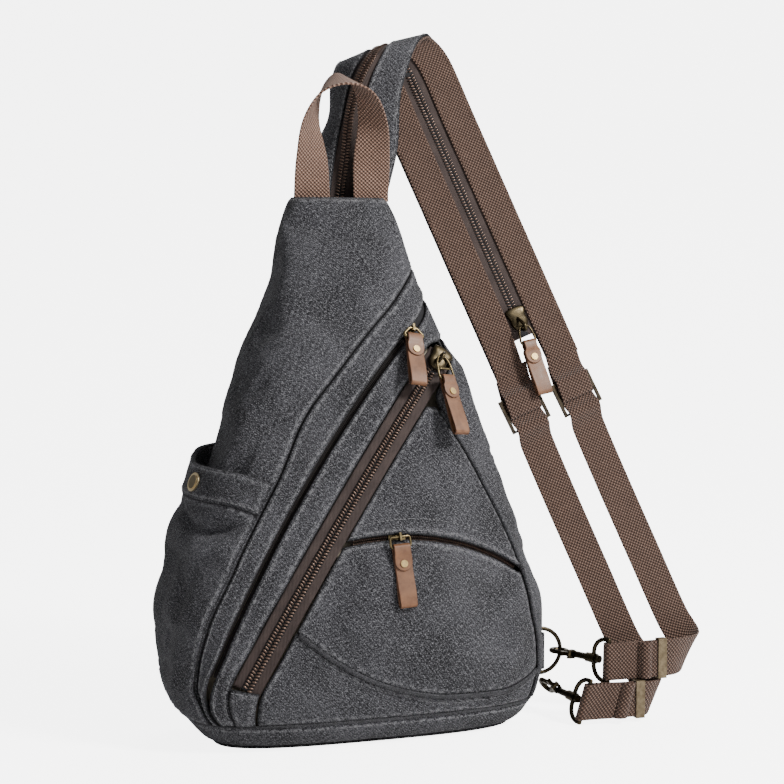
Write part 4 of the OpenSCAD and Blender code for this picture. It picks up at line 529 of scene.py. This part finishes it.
strap=[[[-22,49,349],[4,45.5,349],[37,44.5,349]],[[-12,63,374],[7.8,45,376],[44.5,44,381]],[[5.5,73,401],[11,44.5,404],[46.5,44,414]],[[8,75.5,424],[18.8,48,427],[51.6,46,432]],
  [[10,72.5,436],[28.5,52,442.5],[60,52,449]],[[13,70,439],[39,62,451],[70.5,60,459]],[[19,68.5,436],[48,69,449],[80,70,459]]]+[[sp(-hw,b),sp(0,b),sp(hw,b)] for b in (185,145,105,65,25)]+[[sp(-hw,-8),sp(0,-8),sp(hw,-8)],[sp(-hw,-42),sp(0,-36),sp(hw,-36)]]
strap=[[[-22,48.5,344.5],[4,45.3,344.5],[37,44.3,344.5]]]+strap
KS=12; ST=crom([np.array(s_,float) for s_ in strap],KS); zf=7.4/hw
# the two strap halves narrow and draw apart towards their lower end
nt_=int(KS*1.5); w_=np.zeros(len(ST)); w_[-nt_:]=np.linspace(0,1,nt_); w_=(w_*w_*(3-2*w_))[:,None]
EL=ST[:,:2].copy(); ER=ST[:,1:].copy()
EL[:,0]=EL[:,0]+(EL[:,1]-EL[:,0])*0*w_; EL[:,1]=EL[:,1]+(EL[:,0]-EL[:,1])*(.115*w_); ER[:,0]=ER[:,0]+(ER[:,1]-ER[:,0])*(.02*w_); ER[:,1]=ER[:,1]+(ER[:,0]-ER[:,1])*(.0*w_)
def halves(nm,a,b,mat,repl,slot,sl,sr,**k):
    o1,t1,n1_=ribbon("vis_"+nm+"_l",EL,a,b,mat,"bag",repl,slot,s0=sl[0],s1=sl[1],**k)
    o2,t2,n2_=ribbon("vis_"+nm+"_r",ER,a,b,mat,"bag",repl,slot,s0=sr[0],s1=sr[1],**k)
    return (t1,n1_),(t2,n2_)
halves("strap_cover",-1.75,-.42,CANVAS,["strap_cover"],"canvas",(0,1-zf-.02),(zf+.02,1),wave=.25,seed=1)
halves("strap_web",.4,1.8,WEB,["strap_webbing"],"webbing",(0,1-zf-.02),(zf+.02,1),wave=.25,seed=2)
TZ=ST[:-int(KS*.9)]
ribbon("vis_strap_tape_l",TZ[:,:2],-.38,.36,TAPE,"bag",["strap_zip_tapes"],"zip_tape",s0=1-zf-.07,s1=.998)
ribbon("vis_strap_tape_r",TZ[:,1:],-.38,.36,TAPE,"bag",[],"zip_tape",s0=.002,s1=zf+.07)
# painted shade: a near-black strip under the strap zip teeth, so the gaps between them read dark
MIDZ=np.stack([TZ[:,1]-(TZ[:,1]-TZ[:,0])*(3.3/hw),TZ[:,1]+(TZ[:,2]-TZ[:,1])*(3.3/hw)],1)
ribbon("vis_strap_core",MIDZ,-.55,.55,SHADOW_CLOTH,"bag",[],"zip_tape",nw=5)
# strap coil
mid=ST[:,1]; wv_=ST[:,2]-ST[:,0]; c_=np.gradient(ST[:,:].mean(1),axis=0); NN=np.cross(c_,wv_); NN/=np.linalg.norm(NN,axis=1,keepdims=True)
i0=2*KS//4; i1=8*KS
Lm=np.concatenate([[0],np.cumsum(np.linalg.norm(np.diff(mid,axis=0),axis=1))])
M=[]
def strap_tooth(p,t_,l_,n_,sd):
    ax=unit(l_*sd+t_*.22); b_=unit(np.cross(ax,n_)); M.append((np.stack([ax*1.6,b_*.62,np.cross(ax,b_)*.7],1),p+l_*sd*1.7))
for k,s_ in enumerate(np.arange(1.0,Lm[i1]-1,2.1)):
    for sd in (-1,1):
        q=s_+(1.05 if sd>0 else 0); p=np.array([np.interp(q,Lm,mid[:,c]) for c in range(3)]); n_=unit([np.interp(q,Lm,NN[:,c]) for c in range(3)]); t_=unit([np.interp(q,Lm,c_[:,c]) for c in range(3)])
        strap_tooth(p+n_*.75,t_,unit(np.cross(n_,t_)),n_,sd); strap_tooth(p-n_*.75,t_,unit(np.cross(n_,t_)),n_,sd)
for b_q in np.arange(6.5,184,2.1):
    for sd in (-1,1):
        for oo in (.75,-.75): strap_tooth(sp(0,b_q+(1.05 if sd>0 else 0),oo),SU,SX,SN,sd)
instances("vis_strap_teeth",TV,TF,M,COIL,"bag",["strap_zip_coil"])
# strap edge stitches
def strap_stitch(E,s_at,off,a=6,b=None):
    P=E[:,0]+(E[:,1]-E[:,0])*s_at; c=np.gradient(E.mean(1),axis=0); Nn=np.cross(c,E[:,1]-E[:,0]); Nn/=np.linalg.norm(Nn,axis=1,keepdims=True)
    return (P+Nn*off)[a:b],(Nn if off>0 else -Nn)[a:b]
SW=[];SC_=[];stitch_runs=[]
for E_,e_ in ((EL,(.07,.70)),(ER,(.30,.93))):
    for s_ in e_: SW.append(strap_stitch(E_,s_,1.85)); SC_.append(strap_stitch(E_,s_,-1.8))
# haul loop bends where it leaves the bag
haul=[[[-31,35,350],[-6.2,35,350]],[[-30.6,31,373],[-7,38,373]],[[-27.5,25,397],[-11.5,42,399]],[[-16.5,20,415],[-8,44.5,420]],[[2,18,421],[1.5,44,430]],
        [[20,20,415.5],[11.5,39,421]],[[31,25,397],[14.5,37.5,400]],[[34.6,31,373],[11,37,373]],[[35,35,350],[10.2,35,350]]]
haul=[[[-31,34.6,345],[-6.2,34.8,345]]]+haul+[[[35,34.6,345],[10.2,34.8,345]]]
HE=crom([np.array(h,float) for h in haul],14)
ho,_,_=ribbon("vis_haul_loop",HE,-.75,.75,WEBL,None,[],"webbing",wave=.2,seed=4)
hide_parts("haul_loop"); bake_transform(ho)
# strands
def st_(p,w): p=np.array(p,float)+np.array([0,0,1.6]); return [p,p+np.array(w,float)]
def run(a0,a1_,b,c): return [sp(a0,b,c),sp(a1_,b,c)]
strR=[run(4,29,-57.5,1.7),run(4,29,-64,2.0),run(4,29,-69.5,4.2),run(4,29,-73.5,6.6),run(4,29,-77.5,6.0),run(4,29,-83,2.6),run(4,29,-92,.9),run(4,29,-135,0),run(4,29,-180,0),run(4,29,-225,0)]+[st_(*q) for q in (([215.5,-23,46.5],[22.5,1.2,10.8]),([219.5,-27.5,37],[19,0,16.2]),([221,-34,30.7],[14.5,-.5,20.3]),([218,-41.5,27.8],[9,-1.5,23.2]),([212,-47.2,26.7],[3.6,-.9,24.5]),
   ([204.5,-50,26.4],[1.2,0,24.8]),([192,-50.9,26.4],[.8,0,24.8]),([178,-51,26.4],[.6,0,24.8]),([168,-50.8,26.4],[.6,0,24.8]))]+[st_([160.2+q[0],-48+q[1],26.4],[.6,0,24.8]) for q in ([.2,-2.8],[-2,-2],[-2.8,0],[-2,2],[.2,2.8])]+[st_(*q) for q in (([166,-46.2,26.4],[.6,0,24.8]),([173,-48.6,26.4],[.6,0,24.8]),([182,-49.15,26.4],[.6,0,24.8]),([191,-49.1,26.4],[.6,0,24.8]),([199.5,-49,26.4],[.8,0,24.8]))]
strL=[run(-37,-12,-53.5,1.7),run(-37,-12,-60,2.0),run(-37,-12,-65.5,4.2),run(-37,-12,-69.5,6.6),run(-37,-12,-73.5,6.0),run(-37,-12,-79,2.6),run(-37,-12,-88,.9),run(-37,-12,-130,0),run(-37,-12,-180,0),run(-37,-12,-225,0)]+[st_(*q) for q in (([178.5,-26.5,32],[23,1.6,9.5]),([184.5,-31,19],[20.5,0,14.3]),([188.7,-37.5,9],[16.5,0,18.2]),([189.5,-44.7,3.4],[12.3,.5,20.8]),([187.5,-51.2,2.1],[10,.8,22.3]),
   ([181.5,-54.6,1.9],[8.3,.4,23]),([172,-55.1,1.9],[7.3,.1,23.3]),([160,-54.9,1.9],[7,0,23.3]),([149,-54,1.9],[7,0,23.3]))]+[st_([138.8+q[0],-51+q[1],1.9],[7,0,23.3]) for q in ([.2,-2.8],[-2,-2],[-2.8,0],[-2,2],[.2,2.8])]+[st_(*q) for q in (([148,-49.2,1.9],[7,0,23.3]),([160,-52,1.9],[7,0,23.3]),([171,-53,1.9],[7,0,23.3]),([179.5,-52.8,1.9],[7.6,.2,23.1]))]
ribbon("vis_strand_right",crom([np.array(s_) for s_ in strR],9),-.7,.7,WEB,"bag",["strand_right"],"webbing",wave=.12,seed=5)
ribbon("vis_strand_left",crom([np.array(s_) for s_ in strL],9),-.7,.7,WEB,"bag",["strand_left"],"webbing",wave=.12,seed=6)
# webbing ends folded round the middle bar of each adjuster
for nm,x0,x1,b0,dx in (("right",3.9,29.1,-63,3.4),("left",-37.1,-11.9,-59,4.4)):
    q=[(30,1.15),(21,1.35),(15.5,3.2),(11.6,6.6),(7.5,6.9),(2.5,6.5),(-1.2,5.9),(-2.6,4.2),(-1.4,2.5),(3.0,1.9),(9,1.6),(16,.2),(24,-.6)]
    ribbon("vis_fold_"+nm,crom([np.array(run(x0+dx*min(1,max(0,(u_-9)/20)),x1+dx*min(1,max(0,(u_-9)/20)),b0+u_,c_q)) for u_,c_q in q],6),-.62,.62,WEB,"bag",[],"webbing",seed=8)
    stitch_runs.append((np.array([sp(x0+1.5+k*.5,b0+24.0,2.05) for k in range(int((x1-x0-3)/.5)+1)]),np.array([SN]*(int((x1-x0-3)/.5)+1))))
# rolled webbing ends in front of the keepers
def rollup(nm,pts,z0,z1,lean=(0,0)):
    E_=crom([np.array([[x_-1.5,y_,z0],[x_-1.5+lean[0],y_+lean[1],z1]]) for x_,y_ in pts],5); ribbon("vis_roll_"+nm,E_,-.55,.55,WEB,"bag",[],"webbing",seed=9)
rollup("right",[(182.2,-51.9),(183.2,-53.4),(184.6,-55.3),(187.2,-56.0),(189.6,-55.2),(190.6,-53.4),(190.9,-51.9)],28.4,52.8,(.5,0))
rollup("left",[(162.6,-56.0),(163.4,-57.4),(164.8,-58.9),(167.2,-59.4),(169.6,-58.8),(170.8,-57.2),(171.2,-56.0)],3.8,27.0,(7.0,.2))
# D-ring tab
pp=[(125.2,-13.6),(126.4,-12.4)]+[(128.2+2.7*math.cos(math.radians(q)),-9+2.7*math.sin(math.radians(q))) for q in range(-120,121,20)]+[(126.4,-5.6),(125.2,-4.4)]
pe=crom([np.array([[q[0],q[1],29.8],[q[0],q[1],54.4]]) for q in pp],4); ribbon("vis_dring_tab",pe,-.55,.55,CANVAS,"bag",["dring_tab"],"canvas")
LINKM=dict(main=BRI2,front=ANT,pocket=ANT,strap=DKB)
# leather pulls
al1,al2,al3=-2.4,.35,.4
PULLS=dict(main=(a1(al1,0,3.5),[31.5,-35,220.9],[.122,-.934,.335],8,36,11.4),front=(a2(al2,0,5.1),[57.6,-40.8,197.2],[.322,-.876,.36],17,40,10.6),
           pocket=(a3(al3,0,3.4),[13.6,-64,90],[.004,-.986,.169],8.5,38,12),strap=(sp(-1,-6.5,7.2),sp(-9,-56,11),SN,14,37,10))
for k,(E_,T_,N_,Ll,ln,wi) in PULLS.items():
    y=unit(np.array(E_)-np.array(T_,float)); z=np.array(N_,float); z=unit(z-y*(z@y)); x_=np.cross(y,z); O=np.array(E_)-y*(Ll-1.5)
    path=[(-14.6,1.5),(-10.2,1.4),(-6,1.55),(-3,2.1)]+[(2.05*math.sin(q),2.05*math.cos(q)) for q in np.radians([15,50,90,130,165])]+[(-3,-2.05),(-6,-1.45),(-10.2,-1.2),(-16,-1.25),(-ln+9,-1.75),(-ln+4,-1.8)]
    path+=[(-ln+2.5-1.75*math.sin(q),-1.75*math.cos(q)) for q in np.radians([25,60,90,120,155])]+[(-ln+4,1.8),(-ln+9,1.7),(-16,.55),(-10.2,.12),(-8.6,.1)]
    C_=crom([np.array(q) for q in path],6); hwid=np.zeros(len(C_)); nk=wi/2-.35
    for i,(cy,cz_) in enumerate(C_):
        h=6.0 if cy<-5.6 else (nk if cy>-3.6 else nk+(6-nk)*((-3.6-cy)/2.0)); hwid[i]=h
    L0=np.concatenate([[0],np.cumsum(np.linalg.norm(np.diff(C_,axis=0),axis=1))])
    for i in range(len(C_)):
        if L0[i]<5.5: hwid[i]=min(hwid[i],6*math.sqrt(max(.03,1-((5.5-L0[i])/5.6)**2)))
        yb=-C_[i,0]
        if yb>ln-10: hwid[i]*=1-.05*((yb-ln+10)/10)
    Pc=O+y*C_[:,:1]+z*C_[:,1:]; Ep=np.stack([Pc-x_*hwid[:,None],Pc+x_*hwid[:,None]],1)
    ribbon("vis_%s_pull"%k,Ep,-.56,.56,LEATHER,k+"_pull",[k+"_pull"],"leather",nw=9,wave=.0,r=.5)
# wire links bent from round wire
def loop_path(hx0,hx1,ln,mid=None):
    P=[(-hx0,0)]+[(hx0,0)]+([(mid[0],-mid[1])] if mid else [])+[(hx1,-ln+1.4),(hx1-1.5,-ln)]+[(-hx1+1.5,-ln),(-hx1,-ln+1.4)]+([(-mid[0],-mid[1])] if mid else [])
    out=[]
    for i in range(len(P)):
        a=np.array(P[i]); b=np.array(P[(i+1)%len(P)]); L_=np.linalg.norm(b-a); e=min(.8,L_*.3)
        for t_ in (e/L_,.5,1-e/L_): out.append(a+(b-a)*t_)
    return np.array(out)
LINKS=dict(main=(2.6,6.9,None,0),front=(2.9,6.2,(5.2,4.6),8.6),pocket=(6.6,6.75,None,0),strap=(3.0,5.8,(4.6,3.4),0))
for k,(h0,h1,md_,bar_) in LINKS.items():
    E_,T_,N_,Ll,ln,wi=PULLS[k]; y=unit(np.array(E_)-np.array(T_,float)); z=np.array(N_,float); z=unit(z-y*(z@y)); x_=np.cross(y,z)
    q=loop_path(h0,h1,Ll-1.5,md_); P_=np.array(E_)+x_*q[:,:1]+y*q[:,1:]
    lk=tube("vis_%s_link"%k,P_,.78 if k!="main" else .95,LINKM[k],k+"_link",[k+"_link"],seg=10,closed=True)
    if bar_:
        hb=np.interp(bar_,[4.6,Ll-2.9],[5.2,6.2])-.2; tube("vis_%s_link_bar"%k,np.array(E_)+x_*np.array([[-hb],[-hb*.5],[0],[hb*.5],[hb]])-y*bar_,.72,LINKM[k],k+"_link",[],seg=10)
# slider bodies: domed shields with a bridge for the link
def shield(nm,o,xv,yv,zv,k,arch,w=1.0,back=-3.0):
    half=[(0,8.6),(3.6,8.3),(6.6,7.2),(7.5,5.2),(6.7,2.6),(6.1,0.2),(6.4,-2.4),(5.7,-5.2),(3.6,-7.6),(0,-8.5)]
    H_=crom([np.array(h) for h in half],4); ring_=np.concatenate([H_,H_[-2:0:-1]*[-1,1]])*[w,1.0]
    n_=len(ring_); lv=[(.9,.3),(1.0,.7),(1.0,2.0),(.955,2.7),(.86,3.15),(.6,3.45),(.3,3.6)]
    V=[];F=[]
    for sc_,h_ in lv:
        for q in ring_: V.append(o+xv*q[0]*sc_+yv*q[1]*sc_+zv*h_)
    V+= [o+zv*3.62,o+zv*.3]; 
    for a_ in range(len(lv)-1):
        for b_ in range(n_):
            c_q=(b_+1)%n_; F.append((a_*n_+b_,(a_+1)*n_+b_,(a_+1)*n_+c_q,a_*n_+c_q))
    for b_ in range(n_):
        c_q=(b_+1)%n_; F+=[((len(lv)-1)*n_+b_,len(V)-2,(len(lv)-1)*n_+c_q),(b_,c_q,len(V)-1)]
    sh=new_obj("vis_%s_slider"%nm,V,F,True,None,None,{"edge":np.full(len(V),5.0)},DKB,nm+"_slider",[nm+"_slider"])
    bm=bmesh.new(); bm.from_mesh(sh.data); bmesh.ops.recalc_face_normals(bm,faces=bm.faces); bm.to_mesh(sh.data); bm.free()
    A_=crom([np.array(q,float) for q in arch],5); tube("vis_%s_slider_bridge"%nm,o+xv*A_[:,:1]+yv*A_[:,1:2]+zv*A_[:,2:],[.9+.35*math.sin(math.pi*i/(len(A_)-1)) for i in range(len(A_))],DKB,nm+"_slider",[],seg=12)
    bp=[(q[0]*.8,q[1]*.8) for q in ring_]; V=[o+xv*q[0]+yv*q[1]+zv*h_ for h_ in (back,back+1.2) for q in bp]; nb_=len(bp)
    F=[tuple(range(nb_))[::-1],tuple(range(nb_,2*nb_))]+[(i,(i+1)%nb_,nb_+(i+1)%nb_,nb_+i) for i in range(nb_)]
    new_obj("vis_%s_slider_back"%nm,V,F,False,None,None,{"edge":np.full(len(V),5.0)},DKB,nm+"_slider",[])
p_,t_f,l_f,n_f=a2.frame(al2); 
if (t_f[2]<0): t_f=-t_f
shield("front",p_,unit(np.cross(t_f,n_f)),t_f,n_f,"front",[(0,4.2,3.0),(0,3.0,6.0),(0,0,7.4),(0,-3.0,6.2),(0,-4.0,3.0)])
shield("strap",sp(0,0,0),SX,SU,SN,"strap",[(-1,0.5,3.2),(-1,-3.2,7.0),(-1,-6.5,9.4),(-1,-9.6,7.6),(-1,-7.6,2.6)])
# lining, padding
zl=lin(9,336,70); thl=lin(-180,174,60)
def ldz(z): return 4*np.clip((z-180)/50,0,1)
Vo=np.array([[S(q,z_,8+ldz(z_),1) for q in thl] for z_ in zl]); nr,ncl=Vo.shape[:2]; nl=snoise(Vo,22,5)
cenl=np.stack([np.zeros(nr),Vo[:,:,1].mean(1),zl],-1)[:,None]; rad=Vo-cenl; rl=np.linalg.norm(rad[...,:2],axis=-1,keepdims=True); rn=rad/rl
Vo=Vo-rn*(.6+nl[...,None]*.5); Vi=Vo-rn*.8; V=np.concatenate([Vo.reshape(-1,3),Vi.reshape(-1,3),[[0,Vo[0,:,1].mean(),9],[0,Vo[0,:,1].mean(),10],[0,Vo[-1,:,1].mean(),336],[0,Vo[-1,:,1].mean(),335.2]]])
F=[];K0=nr*ncl
for i in range(nr-1):
    for j in range(ncl):
        b_=(j+1)%ncl; F+=[(i*ncl+j,i*ncl+b_,(i+1)*ncl+b_,(i+1)*ncl+j),(K0+i*ncl+j,K0+(i+1)*ncl+j,K0+(i+1)*ncl+b_,K0+i*ncl+b_)]
for j in range(ncl):
    b_=(j+1)%ncl; F+=[(2*K0,b_,j),(2*K0+1,K0+j,K0+b_),(2*K0+2,(nr-1)*ncl+j,(nr-1)*ncl+b_),(2*K0+3,K0+(nr-1)*ncl+b_,K0+(nr-1)*ncl+j)]
new_obj("vis_lining",V,F,True,None,V[:,:2],{"edge":np.full(len(V),9.0)},LINE,"bag",["lining"])
pts=[[-72,64],[72,64],[70,105],[52,185],[34,255],[27,290],[20,325],[-20,325],[-27,290],[-34,255],[-52,185],[-70,105]]
zp=lin(64.5,324.5,60); PW=Tab([[64,72],[105,70],[185,52],[255,34],[290,27],[325,20]])
gx=lin(-1,1,25); Pp=np.array([[[-q*(PW(z_,1)-.5),46.8-.9*max(0,abs(q)-.9)*10*.3,z_] for z_ in zp] for q in gx]); Np=np.zeros_like(Pp); Np[...,1]=1
V,F,fl,uvp,at=grid_sheet(Pp,Np,3.0,np.stack([Pp[...,0],Pp[...,2]],-1).reshape(-1,2),{"edge":np.full(Pp[...,0].size,9.0)},60)
new_obj("vis_back_padding",V,F,True,fl,uvp,at,FOAM,"bag",["back_padding"])

# ------------------------------------------------------------------ stitches
def stitch(name,runs,mat,pitch=2.9,ln=.90,rad=.30,lift=.12,body="bag",skip=0.16):
    M=[]; rs=np.random.RandomState(7)
    for P,N in runs:
        q,s_,L_=along(P,pitch,start=1.6,stop=None)
        if len(q)<2: continue
        for k in range(len(q)):
            if rs.rand()<skip: continue
            a_=np.array([np.interp(s_[k]-.9,L_,P[:,c]) for c in range(3)]); b_=np.array([np.interp(s_[k]+.9,L_,P[:,c]) for c in range(3)]); n_=unit([np.interp(s_[k],L_,N[:,c]) for c in range(3)])
            t_=b_-a_; 
            if np.linalg.norm(t_)<.5: continue
            t_=unit(t_); v_=unit(np.cross(n_,t_)); M.append((np.stack([t_*ln,v_*rad,n_*rad],1),q[k]+n_*lift))
    return instances(name,TV,TF,M,mat,body,())
stitch("vis_topstitching",STITCH,THREAD)
stitch("vis_strap_stitch_web",SW+stitch_runs,THREADB); stitch("vis_strap_stitch_cover",SC_,THREAD)

# ------------------------------------------------------------------ CAD hardware finish
SNAPM,t_,b_=nt("snap_brass"); g=G(t_); lo_,hi_=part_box("snap_cap"); cen_=(np.array(lo_)+np.array(hi_))/2
c_=g.n("ShaderNodeTexCoord"); vm=g.n("ShaderNodeVectorMath",operation="DISTANCE"); g.l(c_.outputs["Object"],vm.inputs[0]); vm.inputs[1].default_value=tuple(cen_)
rr=g.mapr(vm.outputs["Value"],.0043,.0049,0,1,True); nn_=g.noise(c_.outputs["Object"],400,3,.6)
g.l(g.mix(rr,g.mix(nn_,(0.10,0.08,0.045),(0.20,0.16,0.09)),(0.62,0.50,0.30)),b_.inputs["Base Color"]); b_.inputs["Metallic"].default_value=1; b_.inputs["Roughness"].default_value=.32; g.l(g.bump(nn_,.1,.0002),b_.inputs["Normal"])
HARD=dict(snap_cap=SNAPM,dring=DKB,eye_a=DKB,eye_b=DKB,adjuster_left=BLK,adjuster_right=BLK,main_slider=BRI2,hook_a=DKB,hook_b=DKB,trigger_a=DKB,trigger_b=DKB,main_rivet=BRI,front_rivet=BRI,pocket_rivet=BRI,strap_rivet=BRI,keeper_right=PLATE,keeper_left=PLATE)
BOARD=plain_fabric("board",(.10,.09,.08),(.16,.15,.13),60)
for n_,o_ in NODES.items():
    if o_.hide_render: continue
    o_.data.materials.clear(); o_.data.materials.append(BOARD if n_=="base_board" else HARD.get(n_,ANT))
    md=o_.modifiers.new("soften","BEVEL"); md.width=.00035 if n_!="base_board" else .0006; md.segments=3; md.limit_method="ANGLE"; md.angle_limit=math.radians(38); md.harden_normals=False

# ------------------------------------------------------------------ stage, light, camera
def staged(name,V,F,mat):
    me=bpy.data.meshes.new(name); me.from_pydata(V,[],F); me.polygons.foreach_set("use_smooth",[True]*len(F)); o=bpy.data.objects.new(name,me); SC.collection.objects.link(o); me.materials.append(mat); return o
fm,ft,fb=nt("pale_paper"); g=G(ft); c_t=g.uvrot(0,1,1,True); g.l(g.mix(g.noise(c_t,40,3,.5),(0.94,0.94,0.94),(0.96,0.96,0.96)),fb.inputs["Base Color"]); lp=g.n("ShaderNodeLightPath"); g.l(g.math("MULTIPLY",lp.outputs["Is Camera Ray"],5.0),fb.inputs["Emission Strength"]); fb.inputs["Emission Color"].default_value=(1,1,1,1); fb.inputs["Roughness"].default_value=.9; fb.inputs["Specular IOR Level"].default_value=.1
cyc=[(-1.6,0)]+[(1.1+.9*math.sin(q),.9-.9*math.cos(q)) for q in np.radians(np.arange(0,91,9))]+[(2.0,3.2)]
rot=math.radians(-19.48)
V=[];F=[]
for i,(d_,z_) in enumerate(cyc):
    for sx_ in (-3.2,3.2):
        V.append((sx_*math.cos(rot)-d_*math.sin(rot),sx_*math.sin(rot)+d_*math.cos(rot),z_))
for i in range(len(cyc)-1): F.append((2*i,2*i+1,2*i+3,2*i+2))
staged("stage_floor",V,F,fm)
w=bpy.data.worlds.new("studio"); SC.world=w; w.use_nodes=True; bg=w.node_tree.nodes["Background"]; bg.inputs[0].default_value=(1,1,1,1); bg.inputs[1].default_value=.36
def area(name,loc,tgt,size,power,col=(1,1,1)):
    l=bpy.data.lights.new(name,"AREA"); l.energy=power; l.size=size; l.color=col; o=bpy.data.objects.new(name,l); SC.collection.objects.link(o); o.location=loc
    o.rotation_euler=(Vector(tgt)-Vector(loc)).to_track_quat("-Z","Y").to_euler(); return o
area("key",(.95,-.95,1.25),(.03,0,.2),.34,39,(1,.985,.96)); area("fill",(.9,-1.6,.35),(.03,0,.15),1.1,7); area("rim",(.7,1.0,1.3),(0.05,0,.3),.9,12)
cam=bpy.data.cameras.new("camera"); cam.lens=85; cam.sensor_width=36; co=bpy.data.objects.new("camera",cam); SC.collection.objects.link(co); SC.camera=co
T_=Vector((.02525,0,.2195)); az,el,ds=math.radians(-19.48),math.radians(4.06),1.216
co.location=T_+ds*Vector((math.sin(az)*math.cos(el),-math.cos(az)*math.cos(el),math.sin(el)))
co.rotation_euler=(T_-co.location).to_track_quat("-Z","Y").to_euler()
